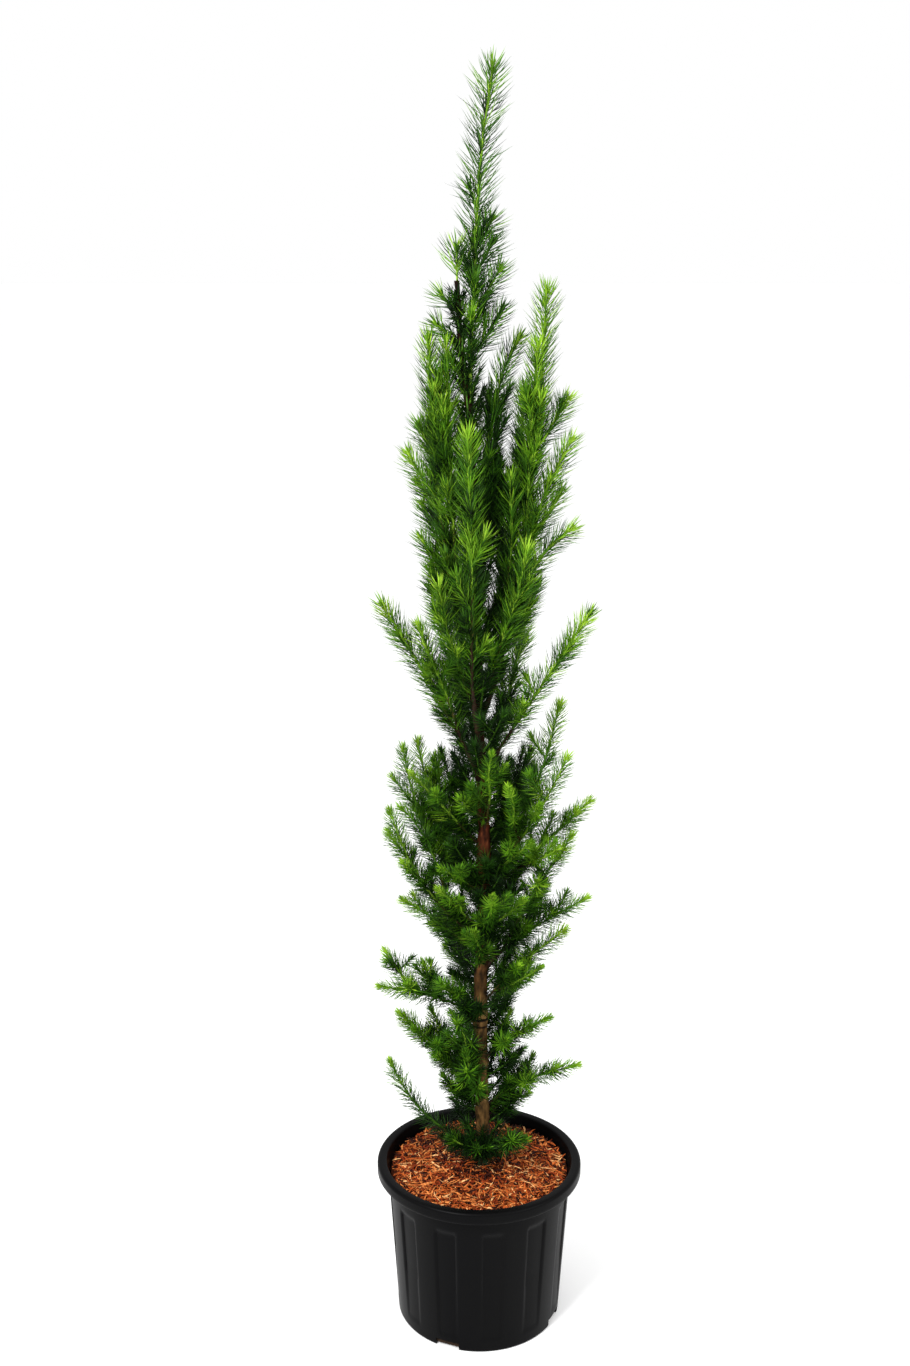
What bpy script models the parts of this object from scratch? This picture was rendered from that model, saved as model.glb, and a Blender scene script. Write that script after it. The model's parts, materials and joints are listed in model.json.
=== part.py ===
"""Young Japanese larch in a ten litre nursery pot.

A narrow young conifer, about 1.68 m tall with its pot. The trunk rises from a flat cut at the bark mulch to
its old tip, and a green leader grows past it. Boughs rise steeply round the trunk. Each carries one mass of
shoots with needles. All lengths are in metres, +Z is up, and the origin is the centre of the pot's underside.
Azimuths are in degrees about +Z: 0 is +X, 90 is +Y, and the front of the plant faces -Y.
"""

import math
import random
from collections import namedtuple

import bmesh
import bpy
import numpy as np
from mathutils import Vector

# Clear gap between pieces that touch
GAP = 0.0003

# Pot
POT_HEIGHT = 0.231
POT_BASE_RADIUS = 0.1136
POT_NECK_RADIUS = 0.1275
POT_WALL = 0.002
POT_FLOOR = 0.0028
RIM_RADIUS = 0.142
RIM_INNER_RADIUS = 0.1285
RIM_SKIRT = 0.016
RIM_THICKNESS = 0.004
RIM_ROUND = 0.0045
BASE_BEVEL = 0.002
FLUTES = 12
FLUTE_PHASE = -142.0
FLUTE_DEPTH = 0.0024
FLUTE_BOTTOM = 0.016
FLUTE_TOP = 0.192
FLUTE_FADE = 0.013
SEGMENTS_PER_FLUTE = 4
DRAINS = 4
DRAIN_PHASE = -113.0
DRAIN_WIDTH = 0.034
DRAIN_DEPTH = 0.024
DRAIN_HEIGHT = 0.011
RIM_LEDGE = 0.001
RIM_INSIDE_ROUND = 0.002
CUT_PAST = 0.002

# Filling of the pot
MIX_TOP = 0.182
MULCH_EDGE = 0.213
MULCH_CROWN = 0.221
MULCH_LUMP = 0.0025
MULCH_SEGMENTS = 24
MULCH_RINGS = (0.022, 0.050, 0.080, 0.108)

# Trunk: centre line as height, x and y, then its taper
TRUNK_FOOT = MULCH_CROWN + GAP
TRUNK_LINE = (
    (TRUNK_FOOT, 0.006, 0.004),
    (0.35, 0.003, 0.002),
    (0.48, 0.001, 0.000),
    (0.60, 0.006, 0.000),
    (0.72, 0.005, 0.001),
    (0.84, -0.002, 0.000),
    (1.06, -0.009, 0.002),
    (1.25, -0.015, 0.003),
    (1.35, -0.027, 0.004),
    (1.42, -0.031, 0.004),
)
TRUNK_FOOT_RADIUS = 0.0095
TRUNK_TIP_RADIUS = 0.0026
TRUNK_TAPER = 0.6
FLARE = 0.0045
FLARE_HEIGHT = 0.014
KNOT_HEIGHT = 0.445
KNOT_SIZE = 0.0026
KNOT_LENGTH = 0.010
KNOT_AZIMUTH = 190.0
TRUNK_SIDES = 10
TRUNK_RINGS = 26
FLARE_PLACES = (0.35, 0.8, 1.5)
KNOT_PLACES = (-1.2, -0.5, 0.0, 0.5, 1.2)
RINGS_APART = 0.006
KNOT_BACK = 0.35
SLEEVE_BELOW = 0.02
SLEEVE_NAME = "trunk_sleeve_guide"

# Shoots: a bough or its fork, from its foot's height on the trunk or on its parent to its tip's height.
# reach is how far out the tip lies from the foot, bow how much it swings out before it rises, and bare the
# share of its length that is a bare limb. twig is the length of its lowest side shoot, and sides holds the
# azimuth of each side shoot from the lowest to the highest.
Shoot = namedtuple("Shoot", "name parent foot azimuth reach tip bow bare twig sides")
SHOOTS = [
    Shoot(*row)
    for row in (
        ("leader", "trunk", 1.268, 25, 0.031, 1.668, -0.22, 0.0, 0.055, ()),
        ("old_tip", "trunk", 1.420, -180, 0.001, 1.461, 0.0, 0.0, 0.02, ()),
        ("right_tall", "trunk", 0.860, 1, 0.081, 1.410, 0.25, 0.16, 0.11, (-66, 100, -85, 15, 100, -80)),
        ("right_outer", "right_tall", 0.975, -6, 0.080, 1.230, -0.15, 0.0, 0.05, (60, -60)),
        ("right_outer_low", "right_tall", 0.952, -12, 0.089, 1.121, -0.25, 0.0, 0.04, ()),
        ("right_tall_front", "right_tall", 1.120, -70, 0.033, 1.346, 0.05, 0.0, 0.05, (-60, -120)),
        ("right_tall_inner", "right_tall", 0.985, -84, 0.018, 1.184, 0.0, 0.0, 0.03, ()),
        ("right_inner", "trunk", 1.070, 26, 0.063, 1.352, -0.28, 0.0, 0.05, (100,)),
        ("left_tall", "trunk", 0.870, 190, 0.042, 1.350, 0.3, 0.14, 0.09, (250, 110, 235, 70, 255, 130)),
        ("left_outer", "left_tall", 0.960, 174, 0.045, 1.354, 0.22, 0.0, 0.085, ()),
        ("front_tall", "trunk", 0.838, -103, 0.072, 1.244, 0.28, 0.16, 0.075, (205, -25, 220, -40)),
        ("back_tall", "trunk", 0.900, 98, 0.075, 1.265, 0.28, 0.15, 0.085, (20, 150, 80, 10, 165)),
        ("back_left", "trunk", 0.960, 138, 0.082, 1.245, 0.25, 0.0, 0.075, (180, 95, 150, 200)),
        ("back_right", "trunk", 0.930, 45, 0.085, 1.290, 0.22, 0.0, 0.08, (0, 90, 30, 70)),
        ("right_front", "trunk", 0.885, -43, 0.081, 1.101, 0.1, 0.0, 0.06, (-90, 0, -60, -20)),
        ("left_front", "trunk", 0.865, -132, 0.075, 1.056, 0.12, 0.0, 0.06, (-170, -90, -140)),
        ("left_mid", "trunk", 0.785, -166, 0.131, 1.027, -0.03, 0.15, 0.05, (150, 250, 170)),
        ("left_mid_inner", "left_mid", 0.835, -143, 0.071, 1.003, 0.0, 0.0, 0.04, (150,)),
        ("right_mid", "trunk", 0.790, -8, 0.138, 1.013, 0.0, 0.15, 0.05, (-60, 130, -30)),
        ("back_mid_left", "trunk", 0.800, 118, 0.122, 1.010, 0.0, 0.15, 0.06, (170, 70, 140)),
        ("back_mid_right", "trunk", 0.765, 62, 0.128, 0.985, 0.0, 0.15, 0.06, (10, 110, 40)),
        ("left_whorl", "trunk", 0.625, 179, 0.108, 0.828, 0.28, 0.16, 0.075, (250, 130, 250, 160)),
        ("left_whorl_back", "left_whorl", 0.665, 139, 0.055, 0.827, 0.12, 0.0, 0.05, (180, 60)),
        ("left_whorl_inner", "left_whorl", 0.655, 133, 0.042, 0.807, 0.05, 0.0, 0.05, (60, 200)),
        ("left_whorl_front", "trunk", 0.685, -152, 0.107, 0.809, 0.0, 0.0, 0.05, (180, 250)),
        ("left_outer_low", "trunk", 0.560, 195, 0.127, 0.754, 0.2, 0.0, 0.07, (250, 165, 230, 170)),
        ("left_outer_inner", "left_outer_low", 0.600, -174, 0.064, 0.753, -0.22, 0.0, 0.05, (120, 60)),
        ("right_whorl", "trunk", 0.620, 2, 0.138, 0.754, 0.0, 0.18, 0.07, (-50, 45, -35)),
        ("right_whorl_front", "right_whorl", 0.660, -49, 0.078, 0.708, 0.05, 0.0, 0.05, (-80, 0)),
        ("right_upper", "trunk", 0.645, -16, 0.109, 0.826, 0.1, 0.0, 0.07, (100, -75, -140)),
        ("right_upper_back", "right_upper", 0.670, 24, 0.085, 0.880, 0.1, 0.0, 0.05, (180, 90, 150)),
        ("right_upper_front", "right_upper", 0.705, -107, 0.061, 0.798, 0.0, 0.0, 0.03, ()),
        ("front_upper", "trunk", 0.705, -84, 0.069, 0.840, -0.05, 0.0, 0.05, (-140, -20)),
        ("front_upper_left", "front_upper", 0.735, 220, 0.044, 0.772, 0.1, 0.0, 0.03, ()),
        ("front_right", "trunk", 0.650, -47, 0.083, 0.719, 0.05, 0.0, 0.05, (-10, -110)),
        ("front_left", "trunk", 0.625, -132, 0.088, 0.687, 0.0, 0.0, 0.05, (-175, -85)),
        ("front_low", "trunk", 0.565, -85, 0.105, 0.663, 0.05, 0.0, 0.05, (-140, -20)),
        ("front_low_right", "front_low", 0.580, -39, 0.065, 0.641, 0.05, 0.0, 0.04, (0,)),
        ("front_left_low", "front_low", 0.575, -137, 0.083, 0.660, 0.0, 0.0, 0.04, (-90,)),
        ("front_lowest", "trunk", 0.520, -98, 0.075, 0.602, 0.05, 0.0, 0.045, (-30, -150)),
        ("back_whorl_high", "trunk", 0.680, 96, 0.105, 0.835, 0.1, 0.0, 0.06, (150, 40, 100)),
        ("back_whorl_right", "trunk", 0.635, 57, 0.119, 0.796, 0.12, 0.0, 0.06, (180, 20, 50)),
        ("back_whorl_left", "trunk", 0.600, 128, 0.118, 0.735, 0.1, 0.0, 0.06, (170, 80, 130)),
        ("back_low", "trunk", 0.530, 84, 0.120, 0.645, 0.0, 0.0, 0.06, (30, 140, 80)),
        ("right_low", "trunk", 0.515, 3, 0.141, 0.616, -0.08, 0.16, 0.055, (-50, 50, 80, 35)),
        ("right_low_up", "right_low", 0.541, -14, 0.092, 0.715, -0.05, 0.0, 0.05, (20, -80, 30)),
        ("right_low_front", "trunk", 0.462, -20, 0.118, 0.591, -0.05, 0.0, 0.05, (25, -70, 80, 60, 100)),
        ("right_low_inner", "right_low_front", 0.485, -41, 0.082, 0.546, 0.05, 0.0, 0.04, (-20, 60)),
        ("left_low", "trunk", 0.445, -172, 0.137, 0.499, -0.15, 0.18, 0.05, (230, 140, 200, 240)),
        ("left_low_up", "left_low", 0.488, 139, 0.050, 0.533, 0.0, 0.0, 0.03, (180,)),
        ("left_low_inner", "left_low", 0.474, 140, 0.034, 0.517, 0.1, 0.0, 0.04, (100, 200)),
        ("left_back_low", "trunk", 0.535, 164, 0.113, 0.603, -0.08, 0.0, 0.055, (210, 110, 150)),
        ("left_back_inner", "left_back_low", 0.550, 128, 0.083, 0.554, 0.0, 0.0, 0.04, (200, 90)),
        ("left_front_low", "trunk", 0.455, 224, 0.066, 0.512, 0.05, 0.0, 0.045, (180, 260, 210)),
        ("back_lower", "trunk", 0.470, 116, 0.095, 0.528, 0.05, 0.0, 0.06, (190, 150, 60, 120)),
        ("back_right_low", "trunk", 0.405, 52, 0.105, 0.500, 0.05, 0.0, 0.055, (60, 100, 40)),
        ("left_bottom", "trunk", 0.335, -175, 0.113, 0.455, 0.0, 0.0, 0.05, (230, 150, 260, 210, 170)),
        ("left_bottom_inner", "left_bottom", 0.362, 222, 0.042, 0.400, 0.0, 0.0, 0.04, (200,)),
        ("left_bottom_back", "left_bottom", 0.358, 149, 0.057, 0.443, 0.1, 0.0, 0.04, (120, 220)),
        ("back_bottom", "trunk", 0.330, 108, 0.092, 0.420, 0.05, 0.0, 0.05, (160, 50, 110)),
        ("right_upright", "trunk", 0.285, 7, 0.070, 0.381, 0.12, 0.0, 0.05, (-50, 150, 70, -20)),
        ("right_upright_back", "right_upright", 0.295, 31, 0.063, 0.308, 0.0, 0.0, 0.03, (90,)),
        ("right_bottom", "trunk", 0.305, -9, 0.131, 0.382, -0.14, 0.0, 0.05, (70, -60, 100, -50)),
        ("left_inner", "trunk", 0.300, 240, 0.046, 0.412, 0.15, 0.0, 0.045, (190, 290, 215, 260)),
        ("left_inner_up", "left_inner", 0.352, 185, 0.026, 0.461, -0.35, 0.0, 0.04, (180, 250)),
        ("left_inner_low", "left_inner", 0.312, 186, 0.051, 0.362, 0.1, 0.0, 0.03, ()),
        ("right_inner_low", "trunk", 0.375, -7, 0.092, 0.448, -0.12, 0.0, 0.04, (60, -50)),
        ("right_inner_up", "right_inner_low", 0.396, 43, 0.029, 0.442, 0.0, 0.0, 0.03, (60,)),
        ("left_ground", "trunk", 0.240, -171, 0.129, 0.387, 0.2, 0.0, 0.03, ()),
        ("front_tuft", "trunk", 0.243, -100, 0.052, 0.272, 0.1, 0.0, 0.03, (200, -40)),
        ("left_tuft", "front_tuft", 0.249, 205, 0.050, 0.280, 0.1, 0.0, 0.03, (170,)),
        ("right_tuft", "front_tuft", 0.252, -24, 0.064, 0.284, 0.0, 0.0, 0.03, (20, -80)),
    )
]
PATH_POINTS = 25
SWAY = 0.003

# Side shoots that stand at heights of their own: height, azimuth and length
PLACED_SIDES = {
    "leader": (
        (1.330, 0, 0.070),
        (1.350, -95, 0.035),
        (1.385, 5, 0.061),
        (1.390, -85, 0.040),
        (1.400, 100, 0.040),
        (1.430, -15, 0.044),
        (1.440, 100, 0.030),
        (1.458, 15, 0.040),
    ),
    "right_tall": (
        (0.960, -40, 0.070),
        (1.217, -5, 0.075),
    ),
    "right_outer": ((1.025, -5, 0.055),),
    "right_outer_low": (
        (0.966, -15, 0.070),
        (0.980, -2, 0.080),
    ),
    "left_outer": (
        (0.985, 186, 0.070),
        (1.010, 180, 0.062),
        (1.052, 182, 0.066),
        (1.150, 180, 0.074),
        (1.205, 190, 0.050),
        (1.220, 100, 0.040),
    ),
    "left_whorl_back": ((0.760, 60, 0.055),),
    "right_inner_low": ((0.398, -70, 0.050),),
    "right_upright": (
        (0.300, -60, 0.055),
        (0.315, 120, 0.050),
    ),
}

# Side shoots leave their shoot between these shares of its length, and lift towards the top of the plant
SIDE_FIRST = 0.18
SIDE_LAST = 0.80
SIDE_PAST_LIMB = 0.05
SIDE_SHRINK = 0.55
TWIG_SPREAD = 0.1
LIFT_LOW = 36.0
LIFT_HIGH = 60.0
LIFT_SPREAD = 6.0
LOW_HEIGHT = 0.30
HIGH_HEIGHT = 1.00

# Stems: radius at the foot and at the tip, for limbs, for the stems of a mass and for side shoots
LIMB_SIDES = 6
LIMB_RINGS = 5
LIMB_FOOT_RADIUS = 0.0036
STEM_FOOT_RADIUS = 0.0030
STEM_TIP_RADIUS = 0.0014
TWIG_FOOT_RADIUS = 0.0022
TWIG_TIP_RADIUS = 0.0013
LEAST_TWIG = 0.018

# Needles stand in threes on a three-sided stem, each turn of three a step further and turned by a twist.
# Their length grows up the plant, and near a shoot's tip they are shorter and closer to it.
NEEDLE_LOW = 0.030
NEEDLE_HIGH = 0.037
NEEDLE_STEP = 0.058
NEEDLE_BASE = 0.024
NEEDLE_PLACE = 0.6
NEEDLE_TWIST = 47.0
NEEDLE_ANGLE = 44.0
NEEDLE_ANGLE_TIP = 22.0
NEEDLE_SHORT = 0.6
NEEDLE_CLEAR = 0.012
TIP_LENGTH = 0.040
TIP_POINT = 0.009

# Room that twigs and needles keep to their neighbours
SHARE_MARGIN = 0.006
TRUNK_MARGIN = 0.001
LIMB_MARGIN = 0.0025
GROUND_MARGIN = 0.004
RIM_MARGIN = 0.004
RIM_REACH = 0.008
TEST_STEP = 0.004
FAR = 9.0
NEEDLE_TESTS = (0.35, 0.6, 0.8, 1.0)
NEEDLE_THICK = 0.0015
SIBLING_MARGIN = 0.004

# Points of a joined mass that lie this close merge, unless that opens it
MERGE_DISTANCES = (2e-6, 5e-7, 0.0)

# Each mass is joined by the first of these that gives one closed body: the share of needles and the solver
UNION_TRIES = ((1.0, "EXACT"), (1.0, "MANIFOLD"), (0.85, "EXACT"), (0.7, "EXACT"))

# Colours, as linear red, green and blue
NEEDLE_COLOUR = (0.055, 0.190, 0.020)
BARK_COLOUR = (0.190, 0.085, 0.045)
LIMB_COLOUR = (0.170, 0.090, 0.035)
PLASTIC_COLOUR = (0.012, 0.012, 0.013)
MULCH_COLOUR = (0.380, 0.120, 0.030)
MIX_COLOUR = (0.035, 0.022, 0.015)


def clear_scene():
    """Remove every object of the open scene."""
    for item in list(bpy.data.objects):
        bpy.data.objects.remove(item, do_unlink=True)


def material(name, colour, roughness):
    """A plain Principled material."""
    made = bpy.data.materials.new(name)
    made.use_nodes = True
    shader = made.node_tree.nodes["Principled BSDF"]
    shader.inputs["Base Color"].default_value = (*colour, 1.0)
    shader.inputs["Roughness"].default_value = roughness
    return made


def add_mesh(name, points, faces, finish=None, smooth=False):
    """One object from points and faces."""
    mesh = bpy.data.meshes.new(name)
    mesh.from_pydata([tuple(p) for p in points], [], faces)
    mesh.validate()
    if finish:
        mesh.materials.append(finish)
    if smooth:
        mesh.shade_smooth()
        mesh.set_sharp_from_angle(angle=math.radians(40))
    made = bpy.data.objects.new(name, mesh)
    bpy.context.scene.collection.objects.link(made)
    return made


def bake_modifiers(item):
    """Replace an object's mesh by the one that its modifiers give."""
    graph = bpy.context.evaluated_depsgraph_get()
    mesh = bpy.data.meshes.new_from_object(item.evaluated_get(graph))
    item.modifiers.clear()
    old = item.data
    item.data = mesh
    bpy.data.meshes.remove(old)


def rings_to_faces(count, sides, closed_start=True, closed_end=True):
    """Quads between rings of points that follow each other, with a cap on either end."""
    faces = []
    for ring in range(count - 1):
        for side in range(sides):
            a = ring * sides + side
            b = ring * sides + (side + 1) % sides
            faces.append((a, b, b + sides, a + sides))
    if closed_start:
        faces.append(tuple(reversed(range(sides))))
    if closed_end:
        faces.append(tuple(range((count - 1) * sides, count * sides)))
    return faces


def frames(points):
    """A sideways and an upward direction at each point of a line, turned as little as possible."""
    line = [Vector(p) for p in points]
    found = []
    side = None
    for i in range(len(line)):
        ahead = (line[min(i + 1, len(line) - 1)] - line[max(i - 1, 0)]).normalized()
        if side is None:
            guide = Vector((0, 0, 1)) if abs(ahead.z) < 0.9 else Vector((1, 0, 0))
            side = ahead.cross(guide).normalized()
        side = (side - ahead * side.dot(ahead)).normalized()
        found.append((ahead, side, ahead.cross(side)))
    return found


def tube(points, radii, sides):
    """Points and faces of a closed tapering limb along a line, with flat ends."""
    shape = []
    for point, radius, (_, side, up) in zip(points, radii, frames(points)):
        for k in range(sides):
            turn = 2 * math.pi * k / sides
            shape.append(Vector(point) + (side * math.cos(turn) + up * math.sin(turn)) * radius)
    return shape, rings_to_faces(len(points), sides)


def smooth_line(points, values, at):
    """A smooth curve through values at the given points, read at one place."""
    i = max(0, min(len(points) - 2, int(np.searchsorted(points, at)) - 1))
    width = points[i + 1] - points[i]
    t = (at - points[i]) / width
    before = max(i - 1, 0)
    after = min(i + 2, len(points) - 1)
    slope_a = (values[i + 1] - values[before]) / (points[i + 1] - points[before]) * width
    slope_b = (values[after] - values[i]) / (points[after] - points[i]) * width
    return (
        values[i] * (2 * t**3 - 3 * t**2 + 1)
        + slope_a * (t**3 - 2 * t**2 + t)
        + values[i + 1] * (3 * t**2 - 2 * t**3)
        + slope_b * (t**3 - t**2)
    )


def trunk_centre(height):
    """The trunk's centre at a height."""
    heights, xs, ys = (list(column) for column in zip(*TRUNK_LINE))
    return Vector((smooth_line(heights, xs, height), smooth_line(heights, ys, height), height))


def trunk_radius(height):
    """The trunk's radius at a height, with its root flare."""
    top = TRUNK_LINE[-1][0]
    left = max(0.0, (top - height) / (top - TRUNK_FOOT))
    taper = TRUNK_TIP_RADIUS + (TRUNK_FOOT_RADIUS - TRUNK_TIP_RADIUS) * left**TRUNK_TAPER
    return taper + FLARE * math.exp(-(height - TRUNK_FOOT) / FLARE_HEIGHT)


def trunk_heights():
    """Ring heights of the trunk, closer together at the flare and at the knot."""
    top = TRUNK_LINE[-1][0]
    even = [TRUNK_FOOT + (top - TRUNK_FOOT) * (i / TRUNK_RINGS) for i in range(TRUNK_RINGS + 1)]
    flare = [TRUNK_FOOT + FLARE_HEIGHT * share for share in FLARE_PLACES]
    knot = [KNOT_HEIGHT + KNOT_LENGTH * share for share in KNOT_PLACES]
    extra = flare + knot
    kept = [z for z in even if min(abs(z - other) for other in extra) > RINGS_APART]
    return sorted(kept + extra + [TRUNK_FOOT])


def trunk_mesh(grow=0.0, below=0.0):
    """Points and faces of the trunk, or of a sleeve round it that is larger by grow."""
    heights = trunk_heights()
    shape = []
    for i, z in enumerate(heights):
        centre = trunk_centre(z)
        if below and i == 0:
            centre.z -= below
        for k in range(TRUNK_SIDES):
            turn = 2 * math.pi * k / TRUNK_SIDES
            towards = max(0.0, math.cos(turn - math.radians(KNOT_AZIMUTH)))
            across = math.exp(-(((z - KNOT_HEIGHT) / KNOT_LENGTH) ** 2))
            knot = KNOT_SIZE * (KNOT_BACK + towards**2) * across
            radius = trunk_radius(z) + knot + grow
            shape.append(centre + Vector((math.cos(turn), math.sin(turn), 0)) * radius)
    return shape, rings_to_faces(len(heights), TRUNK_SIDES)


def make_trunk():
    """The trunk, from its flat cut at the mulch to its old tip."""
    shape, faces = trunk_mesh()
    return add_mesh("trunk", shape, faces, material("trunk_bark", BARK_COLOUR, 0.85), smooth=True)


def make_sleeve():
    """A guide that is a gap wider than the trunk, which trims what grows from it."""
    shape, faces = trunk_mesh(grow=GAP, below=SLEEVE_BELOW)
    top = TRUNK_LINE[-1][0]
    for point in shape:
        if point.z > top - 1e-6:
            point.z += GAP
    sleeve = add_mesh(SLEEVE_NAME, shape, faces)
    sleeve.hide_render = True
    sleeve.display_type = "WIRE"
    return sleeve


def wall_radius(height):
    """Outer radius of the pot's wall, which widens evenly to the neck."""
    return POT_BASE_RADIUS + (POT_NECK_RADIUS - POT_BASE_RADIUS) * height / (POT_HEIGHT - RIM_SKIRT)


def pot_ring(radius, height, flute=0.0):
    """One ring of the pot's points, pressed in at the flutes by flute."""
    count = FLUTES * SEGMENTS_PER_FLUTE
    ring = []
    for k in range(count):
        turn = math.radians(FLUTE_PHASE) + 2 * math.pi * (k - SEGMENTS_PER_FLUTE // 4) / count
        pressed = flute if k % SEGMENTS_PER_FLUTE < SEGMENTS_PER_FLUTE // 2 else 0.0
        ring.append((math.cos(turn) * (radius - pressed), math.sin(turn) * (radius - pressed), height))
    return ring


def pot_rings():
    """The pot's rings from the underside, up the fluted wall, round the rolled rim and down inside."""
    skirt_foot = POT_HEIGHT - RIM_SKIRT
    ceiling = POT_HEIGHT - RIM_THICKNESS
    fade_low = FLUTE_BOTTOM + FLUTE_FADE
    fade_high = FLUTE_TOP - FLUTE_FADE
    outside = [
        pot_ring(POT_BASE_RADIUS - BASE_BEVEL, 0.0),
        pot_ring(wall_radius(BASE_BEVEL), BASE_BEVEL),
        pot_ring(wall_radius(FLUTE_BOTTOM), FLUTE_BOTTOM),
        pot_ring(wall_radius(fade_low), fade_low, FLUTE_DEPTH),
        pot_ring(wall_radius(fade_high), fade_high, FLUTE_DEPTH),
        pot_ring(wall_radius(FLUTE_TOP), FLUTE_TOP),
        pot_ring(wall_radius(skirt_foot), skirt_foot),
    ]
    rim = [
        pot_ring(wall_radius(ceiling), ceiling),
        pot_ring(RIM_RADIUS - POT_WALL - RIM_LEDGE, ceiling),
        pot_ring(RIM_RADIUS - POT_WALL, skirt_foot),
        pot_ring(RIM_RADIUS, skirt_foot),
        pot_ring(RIM_RADIUS, POT_HEIGHT - RIM_ROUND),
        pot_ring(RIM_RADIUS - RIM_ROUND, POT_HEIGHT),
        pot_ring(RIM_INNER_RADIUS, POT_HEIGHT),
        pot_ring(RIM_INNER_RADIUS - RIM_INSIDE_ROUND, POT_HEIGHT - RIM_ROUND),
    ]
    inside = [
        pot_ring(inner_radius(skirt_foot), skirt_foot),
        pot_ring(inner_radius(POT_FLOOR), POT_FLOOR),
    ]
    return outside + rim + inside


def inner_radius(height):
    """Inner radius of the pot's wall, clear of the flutes."""
    return wall_radius(height) - POT_WALL - FLUTE_DEPTH * 0.5


def make_pot():
    """The nursery pot: fluted wall, rolled rim, flat base and drain openings at its edge."""
    rings = pot_rings()
    sides = FLUTES * SEGMENTS_PER_FLUTE
    shape = [point for ring in rings for point in ring]
    faces = rings_to_faces(len(rings), sides, closed_start=False, closed_end=False)
    shape += [(0, 0, 0), (0, 0, POT_FLOOR)]
    under = len(shape) - 2
    top = len(shape) - 1
    last = (len(rings) - 1) * sides
    for k in range(sides):
        after = (k + 1) % sides
        faces.append((after, k, under))
        faces.append((last + k, last + after, top))
    pot = add_mesh("pot", shape, faces, material("black_plastic", PLASTIC_COLOUR, 0.42), smooth=True)
    for k in range(DRAINS):
        cut_drain(pot, math.radians(DRAIN_PHASE) + 2 * math.pi * k / DRAINS)
    bake_modifiers(pot)
    pot.data.shade_smooth()
    pot.data.set_sharp_from_angle(angle=math.radians(40))
    for cutter in [item for item in bpy.data.objects if item.name.startswith("drain_cutter")]:
        bpy.data.objects.remove(cutter, do_unlink=True)
    return pot


def cut_drain(pot, turn):
    """Add one drain opening, a slot through the foot of the wall."""
    bpy.ops.mesh.primitive_cube_add(size=1.0)
    cutter = bpy.context.active_object
    cutter.name = "drain_cutter"
    cutter.scale = (DRAIN_DEPTH, DRAIN_WIDTH, DRAIN_HEIGHT + CUT_PAST)
    cutter.rotation_euler.z = turn
    out = POT_BASE_RADIUS - CUT_PAST
    cutter.location = (math.cos(turn) * out, math.sin(turn) * out, (DRAIN_HEIGHT - CUT_PAST) / 2)
    cutter.hide_render = True
    cutter.display_type = "WIRE"
    cut = pot.modifiers.new("drain", "BOOLEAN")
    cut.operation = "DIFFERENCE"
    cut.solver = "EXACT"
    cut.object = cutter


def make_mix():
    """The potting mix, which fills the pot below the mulch."""
    heights = (POT_FLOOR + GAP, MIX_TOP)
    shape = []
    for z in heights:
        radius = inner_radius(z) - GAP
        for k in range(MULCH_SEGMENTS):
            turn = 2 * math.pi * k / MULCH_SEGMENTS
            shape.append((math.cos(turn) * radius, math.sin(turn) * radius, z))
    faces = rings_to_faces(len(heights), MULCH_SEGMENTS)
    return add_mesh("potting_mix", shape, faces, material("potting_mix", MIX_COLOUR, 0.95))


def mulch_height(radius):
    """The mulch's even height at a distance from the pot's axis, before its lumps."""
    edge = inner_radius(MULCH_EDGE)
    flat = MULCH_RINGS[0]
    share = min(1.0, max(0.0, (radius - flat) / (edge - flat)))
    return MULCH_CROWN + (MULCH_EDGE - MULCH_CROWN) * share**1.3


def make_mulch():
    """The bark mulch: a layer with a low crown at the trunk and a lumpy top."""
    chance = random.Random(11)
    bottom = MIX_TOP + GAP
    edge = inner_radius(MULCH_EDGE) - GAP
    outlines = [(inner_radius(bottom) - GAP, bottom, 0.0), (edge, MULCH_EDGE, 0.0)]
    outlines += [(r, mulch_height(r), MULCH_LUMP) for r in reversed(MULCH_RINGS[1:])]
    outlines.append((MULCH_RINGS[0], MULCH_CROWN, 0.0))
    shape = []
    for radius, height, lump in outlines:
        for k in range(MULCH_SEGMENTS):
            turn = 2 * math.pi * k / MULCH_SEGMENTS
            lift = chance.uniform(-lump, lump)
            shape.append((math.cos(turn) * radius, math.sin(turn) * radius, height + lift))
    faces = rings_to_faces(len(outlines), MULCH_SEGMENTS)
    return add_mesh("bark_mulch", shape, faces, material("bark_mulch", MULCH_COLOUR, 0.9))


def seed_of(name):
    """A seed from a name, the same on each run."""
    return sum((i + 1) * ord(letter) for i, letter in enumerate(name))


def unit(azimuth):
    """The level direction at an azimuth."""
    turn = math.radians(azimuth)
    return Vector((math.cos(turn), math.sin(turn), 0))


def by_height(height, low, high):
    """A value that runs from low to high between the two named heights."""
    share = (height - LOW_HEIGHT) / (HIGH_HEIGHT - LOW_HEIGHT)
    return low + (high - low) * min(1.0, max(0.0, share))


def point_at_height(path, height):
    """The point of a rising path at a height."""
    for a, b in zip(path, path[1:]):
        if b.z >= height:
            return a.lerp(b, (height - a.z) / max(b.z - a.z, 1e-9))
    return path[-1]


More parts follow.
